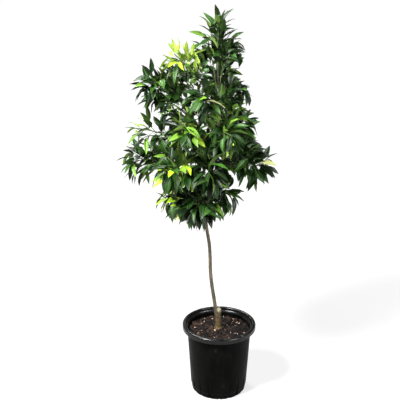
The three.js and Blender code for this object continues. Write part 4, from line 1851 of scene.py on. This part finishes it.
    def _branch_line(self, index: int) -> tuple[Arc, float]:
        """Works out a branch's line from its root and its heart.

        Args:
            index: The branch's place in the list.

        Returns:
            The whole line, and how far along it the heart stands.
        """
        branch, root_height = self.branches[index], self._root_height(index)
        share = self._habit_share(branch.height)
        bend = lerp(self.bend, share)
        rise = branch.height - root_height
        slope = math.degrees(math.atan2(rise, branch.reach))
        half = math.radians(abs(bend)) / 2
        to_heart = math.hypot(rise, branch.reach) * half / math.sin(half)
        at = self.trunk.line.share_at(root_height)
        bearing = math.radians(branch.bearing)
        outward = Vector((math.cos(bearing), math.sin(bearing), 0.0))
        root = self.trunk.line.at(at * self.trunk.line.length)
        root = root + outward * (self.trunk.radius(at) * self.bough_root_offset)
        length = to_heart + lerp(self.beyond, share)
        return Arc(root, branch.bearing, slope - bend / 2, bend * length / to_heart, length), to_heart

    def _entry(self, space: Space, line: Arc, to_heart: float) -> float:
        """Finds where a branch enters its own space and begins to be leafy.

        Args:
            space: The branch's own space.
            line: Its line.
            to_heart: How far along its line the heart stands.

        Returns:
            How far along its line it enters.
        """
        first = max(self.bare, to_heart - self.leafy)
        entry = to_heart
        while entry > first and space.holds([line.at(entry - self.entry_step)]):
            entry -= self.entry_step
        return entry

    def _grow_spray(self, spray: Spray, limbs: list[BVHTree], stream: RandomStream) -> None:
        """Grows a spray's main shoot, its side twigs and their leaves.

        Args:
            spray: The spray.
            limbs: The trunk and the boughs, which it keeps clear of.
            stream: The spray's random numbers.
        """
        line, rule = spray.line, self.side_twigs
        steps = max(2, math.floor(line.length / self.shoot_step + 0.5))
        main = Limb(line, (spray.root_radius, self.shoot_tip), self.shoot_sides, steps)
        spray.twigs = [main]
        count = int(line.length * (rule.end - rule.start) / spray.branch.twig_spacing)
        for tries in self._tries(spray, main, rule, count, spray.twig_length, stream):
            for twig in tries:
                reach = [twig.line.at(twig.line.length * share) for share in (0, 0.5, 1)]
                if spray.space.holds(reach) and not any(limb.overlap(twig.solid) for limb in limbs):
                    spray.twigs.append(twig)
                    break
        solids = [*limbs, *[twig.solid for twig in spray.twigs]]
        for twig in spray.twigs:
            self._set_leaves(spray, twig, solids, stream, self.leaf)
        scales = spray.leaf_scale, spray.branch.tip_scale
        spray.leaves = [leaf.scaled(scales[leaf.at_tip], spray.branch.slim) for leaf in spray.leaves]

    def _tries(
        self, spray: Spray, carrier: Limb, rule: TwigRule, count: int, full: float, stream: RandomStream
    ) -> Iterator[list[Limb]]:
        """Gives the twigs of a shoot one by one, each in every place round the shoot that it may take.

        Args:
            spray: The spray.
            carrier: The shoot that the twigs stand on.
            rule: How they stand.
            count: How many there are.
            full: What their lengths are scaled by.
            stream: The spray's random numbers.

        Yields:
            One twig, once for each of its places.
        """
        for index in range(count):
            share = lerp((rule.start, rule.end), (index + rule.first) / count)
            angle = stream.between(rule.angle)
            around = index * DIVERGENCE + rule.offset + stream.between(rule.wander)
            length = full * (1 - rule.shorter * share) * stream.between(rule.length)
            sag = stream.between(rule.sag) * (rule.least_hang + spray.hang)
            ends = (rule.root or lerp(carrier.ends, share) * self.twig_root_share, rule.tip)
            start = carrier.line.on_axis(carrier.line.length * share, carrier.steps)
            forward = carrier.line.direction(carrier.line.length * share)
            ways = [angles_of(turned_from(forward, angle, around + turn)) for turn in rule.turns]
            lines = [Arc(start, *way, sag, length) for way in ways]
            yield [Limb(line, ends, self.twig_sides, self.twig_steps) for line in lines]

    def _set_leaves(
        self, spray: Spray, twig: Limb, solids: list[BVHTree], stream: RandomStream, rule: LeafRule
    ) -> None:
        """Sets leaves along a twig, with one that carries on from its tip.

        Each leaf tries several turns round the twig and takes the one that stands farthest from the
        other leaves. Where it has no room it tries again as a smaller leaf.

        Args:
            spray: The spray that the twig is in.
            twig: The twig.
            solids: Everything that a leaf keeps clear of, other leaves apart.
            stream: The spray's random numbers.
            rule: The leaves' sizes and spacing.
        """
        line = twig.line
        count = max(2, math.floor(line.length / rule.spacing + 0.5))
        for index in range(count + 1):
            last = index == count
            leads = index > count - rule.tip_leaves and twig is spray.twigs[0]
            share = rule.tip_share if last else lerp((rule.first, 1), (index + 0.5) / count)
            root = line.on_axis(line.length * share, twig.steps)
            forward = line.direction(line.length * share)
            around = index * DIVERGENCE + stream.between(rule.wander)
            angle = stream.between(rule.tip_angle if last else rule.angle)
            hang = spray.hang * rule.hang_share * (rule.tip_hang if last else 1.0)
            full = stream.between(rule.length)
            width_share = stream.between(rule.width_share)
            roll = stream.between(rule.roll)
            for length in (full, full * rule.smaller):
                ways = [rule.direction(forward, angle, around + turn, hang) for turn in rule.turns]
                tried = [Leaf(rule, root, way, roll, length, length * width_share, leads) for way in ways]
                fitting = [
                    leaf
                    for leaf in tried
                    if spray.space.holds(leaf.points, rule.reach, rule.beyond)
                    and spray.has_room(leaf.solid, twig, solids, rule.may_brush)
                ]
                if fitting:
                    spray.leaves.append(max(fitting, key=lambda leaf: self._clear(leaf, spray.leaves)))
                    break

    @staticmethod
    def _clear(leaf: Leaf, leaves: Iterable[Leaf]) -> float:
        """Gives how far a leaf stands from the nearest of the others."""
        return min(((other.middle - leaf.middle).length for other in leaves), default=math.inf)

    def _grow_finer(self, spray: Spray, limbs: list[BVHTree], stream: RandomStream) -> None:
        """Carries a spray on to finer twigs and their smaller leaves, within the same space.

        Args:
            spray: The spray.
            limbs: The trunk and the boughs, which it keeps clear of.
            stream: The random numbers of its finer twigs.
        """
        solids = [*limbs, *[twig.solid for twig in spray.twigs]]
        leaf = self.fine_leaf
        lengths = tuple(length * spray.leaf_scale for length in leaf.length)
        widths = tuple(share * spray.branch.slim for share in leaf.width_share)
        smaller = replace(leaf, length=lengths, width_share=widths)
        for twig in spray.twigs:
            count = max(1, round(twig.line.length / self.fine_spacing * spray.branch.fullness))
            for tries in self._tries(spray, twig, self.fine_twigs, count, 1.0, stream):
                for fine in tries:
                    reach = [fine.line.at(fine.line.length * share) for share in (0.5, 1)]
                    inside = spray.space.holds(reach, smaller.reach, smaller.beyond)
                    if inside and spray.has_room(fine.solid, twig, solids):
                        spray.fine.append(fine)
                        solids.append(fine.solid)
                        self._set_leaves(spray, fine, solids, stream, smaller)
                        break
        for leaf in spray.leaves:
            leaf.tone = spray.tone_at(leaf.middle, stream.share())

    def build(self) -> None:
        """Makes the boughs, twigs and leaves as joined pieces and dresses them."""
        self._build_boughs()
        self._build_twigs()
        self._build_leaves()

    @property
    def _foliage(self) -> list[str]:
        """The nodes of all sprays, which the twigs and the leaves replace."""
        return [f"foliage_{spray.branch.name}" for spray in self.sprays]

    def _build_boughs(self) -> None:
        """Makes the boughs, with their collars, leaf scars and the bark's relief."""
        shapes, (sides, step) = [], self.bough_mesh
        for bough in self.boughs:
            rings = max(6, round(bough.line.length / step))
            shares = np.arange(rings + 1) / rings
            distance = shares * bough.line.length
            radii = lerp(bough.ends, shares) + self.collar[0] * np.exp(-distance / self.collar[1])
            shape = tube(bough.line, radii + self.bough_scars.on(distance), sides)
            centres = np.repeat([bough.line.at(along) for along in distance], sides, axis=0)
            bark, grain = shape.points[: len(centres)], shape.grain[: len(centres)]
            bark += unit_rows(bark - centres) * self.bough_ridges.on(grain)[:, None]
            shapes.append(shape)
        finish = BarkFinish("green_striped_bark", "#333c1e", "#626a42", "#7c7a58")
        piece = joined("bough_bark", shapes, [finish.material()])
        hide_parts(*[f"bough_{branch.name}" for branch in self.branches])

    def _build_twigs(self) -> None:
        """Makes the leafy shoots, twigs and finer twigs."""
        shapes = []
        for spray in self.sprays:
            shapes += [self._twig_shape(twig, *self.twig_mesh, slot=0) for twig in spray.twigs]
            shapes += [self._twig_shape(twig, *self.fine_mesh, slot=1) for twig in spray.fine]
        finishes = [
            BarkFinish("green_twig_bark", "#2a3814", "#4a5f26", "#66743c", line_width=1.4, line_length=30.0),
            BarkFinish("young_green_shoot", "#3a5618", "#567828", "#78903e", line_width=1.0, roughness=0.5),
        ]
        piece = joined("twigs", shapes, [finish.material() for finish in finishes])
        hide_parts(*self._foliage)

    def _twig_shape(self, twig: Limb, sides: int, step: float, slot: int) -> Shape:
        """Makes one twig, which swells a little at each leaf and ends in a point.

        Args:
            twig: The twig.
            sides: How many sides it has.
            step: The distance between its rings.
            slot: The material slot of its bark.

        Returns:
            The twig.
        """
        rings = max(3, round(twig.line.length / step))
        shares = np.arange(rings + 1) / rings
        radii = lerp(twig.ends, shares)
        radii[-1] *= self.twig_point
        shape = tube(twig.line, radii + self.twig_nodes.on(shares * twig.line.length), sides)
        return replace(shape, slots=slot)

    def _build_leaves(self) -> None:
        """Makes the leaves of the whole crown."""
        blade, stream = Blade(), RandomStream(self.blade_seed)
        shapes = [blade.shape(leaf, stream) for spray in self.sprays for leaf in spray.leaves]
        finishes = [kind(tone) for tone in Tone for kind in (LeafFinish, LeafUnderFinish)]
        piece = joined("leaves", shapes, [finish.material() for finish in finishes], sharp=26.0)
        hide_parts(*self._foliage)


@dataclass
class Blade:
    """The leaf's own form: a short stalk, a lance-shaped blade folded along its midrib, a drawn-out tip.

    Sizes are in shares of the leaf's length or width, apart from the stalk's radius and the thickness.
    """

    stalk: float = 0.09
    stalk_radius: float = 0.75
    stalk_sides: int = 3
    # The stalk's radius at its root and at the blade, in shares, and how far it goes on into the blade
    stalk_ends: Range = (1.15, 0.8)
    stalk_beyond: float = 0.02
    slim: float = 0.86
    # The outline's powers of the way from the foot and of the way to the tip
    outline: Range = (0.75, 1.05)
    stations: tuple[float, ...] = (0.05, 0.17, 0.33, 0.52, 0.71, 0.87)
    across: tuple[float, ...] = (-1.0, -0.5, 0.0, 0.5, 1.0)
    # The midrib climbs, then falls with the square of the way along it, so that its middle lies where
    # the plain solid's does. From the first of these shares of the fall to the second goes a curl of one
    climb: float = 0.2656
    fall: float = 0.3206
    fall_shares: Range = (0.6, 1.0)
    curl: Range = (0.7, 1.9)
    bow: Range = (-0.05, 0.05)
    tone: Range = (-0.22, 0.22)
    fold: float = 0.3
    cup: float = 0.05
    wave: float = 0.13
    waves: float = 2.2
    # How far the waves of one edge run ahead of the other's
    wave_lead: float = 0.31
    thickness: float = 0.45

    def __post_init__(self) -> None:
        """Works out the faces and their flat places once, because every leaf has the same.

        The points are the foot, the tip, the upper side row by row, the midrib's underside and the stalk.
        """
        self.shares = np.array(self.stations)
        self.columns = np.array(self.across)
        width, sides = len(self.across), self.stalk_sides
        under = 2 + len(self.stations) * width
        stalk = under + len(self.stations)
        columns = [[0, *range(2 + column, under, width), 1] for column in range(width)]
        midrib = [0, *range(under, stalk), 1]
        loop = [midrib, *columns, midrib]
        faces = []
        for before, after in zip(loop, loop[1:]):
            below = int(before is midrib or after is midrib)
            for corners in zip(before, before[1:], after[1:], after):
                faces.append((corners[below:] + corners[:below], below))
        for k in range(sides):
            after = (k + 1) % sides
            faces.append(((stalk + k, stalk + after, stalk + sides + after, stalk + sides + k), 1))
        faces.append((tuple(reversed(range(stalk, stalk + sides))), 1))
        faces.append((tuple(range(stalk + sides, stalk + 2 * sides)), 1))
        self.faces = [tuple(dict.fromkeys(corners)) for corners, _ in faces]
        self.sides = np.array([side for _, side in faces])
        # The outline stands out by one at its widest place
        peak = self.outline[0] / sum(self.outline)
        ways = self.shares / peak, (1 - self.shares) / (1 - peak)
        self.reach = ways[0] ** self.outline[0] * ways[1] ** self.outline[1]
        flat = [(0.5, 0.0), (0.5, 1.0)]
        flat += [((column + 1) / 2, share) for share in self.shares for column in self.columns]
        flat += [(0.5, share) for share in self.shares] + [(0.5, 0.0)] * (2 * sides)
        self.corner_uv = np.array([flat[index] for face in self.faces for index in face])

    def shape(self, leaf: Leaf, stream: RandomStream) -> Shape:
        """Makes one leaf, with its own curl, waves and bow.

        Args:
            leaf: The leaf's place and size.
            stream: The random numbers of the leaves' shapes.

        Returns:
            The leaf.
        """
        curl, bow = stream.between(self.curl), stream.between(self.bow)
        phase, tone = stream.share(), stream.between(self.tone)
        over, ahead, root = (np.array(way) for way in (leaf.over, leaf.direction, leaf.root))
        side = np.cross(ahead, over)

        def along(share: Values) -> np.ndarray:
            """Gives the midrib's place, which rises, then droops to the tip.

            Args:
                share: One share or more of the whole leaf's length.

            Returns:
                A row for each share.
            """
            rise = self.climb * share - self.fall * share**2 * lerp(self.fall_shares, curl)
            ways = np.outer(share, ahead) + np.outer(rise, over) + np.outer(bow * share**2, side)
            return root + ways * leaf.length

        shares = lerp((self.stalk, 1.0), self.shares)
        middle, columns = along(shares), np.abs(self.columns)
        reach = self.reach[:, None] * leaf.width / 2 * self.slim
        turns = self.waves * shares[:, None] + phase + self.wave_lead * (self.columns > 0)
        lift = self.fold * columns * reach + self.cup * leaf.width * (columns == 0.5) * self.reach[:, None]
        lift += self.wave * reach * np.sin(2 * math.pi * turns) * (columns == 1.0)
        upper = middle[:, None, :] + (self.columns * reach)[..., None] * side + lift[..., None] * over
        under = middle - over * self.thickness
        corners = np.arange(self.stalk_sides) * 2 * math.pi / self.stalk_sides - math.pi / 2
        ring = self.stalk_radius * (np.outer(np.cos(corners), side) + np.outer(np.sin(corners), over))
        stalk = [along(0.0) + ring * self.stalk_ends[0]]
        stalk.append(along(self.stalk + self.stalk_beyond) + ring * self.stalk_ends[1])
        points = np.concatenate([along(self.stalk), along(1.0), upper.reshape(-1, 3), under, *stalk])
        slots = 2 * list(Tone).index(leaf.tone) + self.sides
        return Shape(points, self.faces, slots=slots, tone=tone, corner_uv=self.corner_uv)


@dataclass(frozen=True)
class SoftLight:
    """One soft round light that faces the crown, with its sizes in metres and its power in watts."""

    name: str
    place: Place
    size: float
    power: float
    aim: Place = (-0.05, 0.0, 0.75)

    def hang(self) -> None:
        """Hangs the light."""
        data = bpy.data.lights.new(self.name, "AREA")
        data.shape = "DISK"
        data.size = self.size
        data.energy = self.power
        light = in_scene(self.name, data)
        light.location = self.place
        facing = Vector(self.place) - Vector(self.aim)
        light.rotation_euler = facing.to_track_quat("Z", "Y").to_euler()


@dataclass(frozen=True)
class FloorFinish(Finish):
    """A matt pale studio floor: no shine, and lit as brightly far behind the tree as beside it."""

    name: str = "matt_pale_floor"
    colour: str = "#666666"
    roughness: float = 0.9
    # From how near to how far it brightens, in metres, and its own light there
    distance: Range = (0.6, 5.0)
    strength: Range = (0.62, 0.97)

    def surface(self, node: AddNode) -> Inputs:
        """Adds the floor's own light.

        Args:
            node: What adds a node to the material's tree.

        Returns:
            What the shader's inputs take.
        """
        place = node("ShaderNodeTexCoord").outputs["Object"]
        away = node("ShaderNodeVectorMath", {0: place}, operation="LENGTH").outputs["Value"]
        (near, far), (dim, bright) = self.distance, self.strength
        span = {"Value": away, "From Min": near, "From Max": far, "To Min": dim, "To Max": bright}
        return {
            "Base Color": linear(self.colour),
            "Emission Color": linear("#ffffff"),
            "Emission Strength": node("ShaderNodeMapRange", span),
        }


@dataclass
class Studio:
    """The camera at the photograph's angle, a plain pale floor and soft studio light, in metres."""

    camera_at: Place = (-0.0731, -2.4, 1.549)
    pitch: float = 18.0
    # The focal length and the photograph's width, both in pixels
    focal: float = 696.2
    image: float = 400.0
    sensor: float = 36.0
    far: float = 500.0
    floor_size: float = 240.0
    floor_finish: FloorFinish = FloorFinish()
    lights: tuple[SoftLight, ...] = (
        SoftLight("key", (-1.9, -1.6, 3.2), 0.9, 600.0),
        SoftLight("fill", (2.3, -1.9, 2.4), 1.4, 230.0),
        SoftLight("back", (-0.9, 2.2, 3.2), 1.0, 150.0),
    )
    # The light all round: its colour, and how it dims from the floor's far edge upwards
    sky: str = "#fafafa"
    sky_height: Range = (0.14, 0.32)
    sky_strength: Range = (1.1, 0.1)

    def build(self) -> None:
        """Sets up the camera, the floor, the lights and the surroundings."""
        scene = bpy.context.scene
        scene.view_settings.view_transform = "Standard"
        data = bpy.data.cameras.new("camera")
        data.sensor_width = self.sensor
        data.lens = self.focal / self.image * self.sensor
        data.clip_end = self.far
        camera = in_scene("camera", data)
        camera.location = self.camera_at
        camera.rotation_euler = (math.radians(90 - self.pitch), 0.0, 0.0)
        scene.camera = camera
        self._floor()
        for light in self.lights:
            light.hang()
        scene.world = self._surroundings()

    def _surroundings(self) -> World:
        """Makes the light all round: pale at the floor's far edge and dim overhead.

        Returns:
            The world that gives it.
        """
        world = bpy.data.worlds.new("surroundings")
        world.use_nodes = True
        tree = world.node_tree
        node = partial(add_node, tree)
        towards = node("ShaderNodeTexCoord").outputs["Generated"]
        height = node("ShaderNodeSeparateXYZ", {0: towards}).outputs["Z"]
        (low, high), (bright, dim) = self.sky_height, self.sky_strength
        span = {"Value": height, "From Min": low, "From Max": high, "To Min": bright, "To Max": dim}
        strength = node("ShaderNodeMapRange", span)
        feed(tree, tree.nodes["Background"], {"Color": linear(self.sky), "Strength": strength})
        return world

    def _floor(self) -> None:
        """Lays the floor, which reaches past everything that the camera sees."""
        half = self.floor_size / 2
        corners = [(-half, -half, 0), (half, -half, 0), (half, half, 0), (-half, half, 0)]
        mesh = new_mesh("floor", corners, [(0, 1, 2, 3)], 1.0)
        mesh.materials.append(self.floor_finish.material())
        in_scene("floor", mesh)


def main() -> None:
    """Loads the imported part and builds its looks, piece by piece."""
    logging.basicConfig(level=logging.INFO, format="%(message)s")
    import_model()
    Studio().build()
    pot = Pot()
    pot.build()
    PottingMix().build(pot)
    trunk = Trunk()
    trunk.build()
    crown = Crown(trunk)
    crown.grow()
    crown.build()
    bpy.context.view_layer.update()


if __name__ == "__main__":
    main()
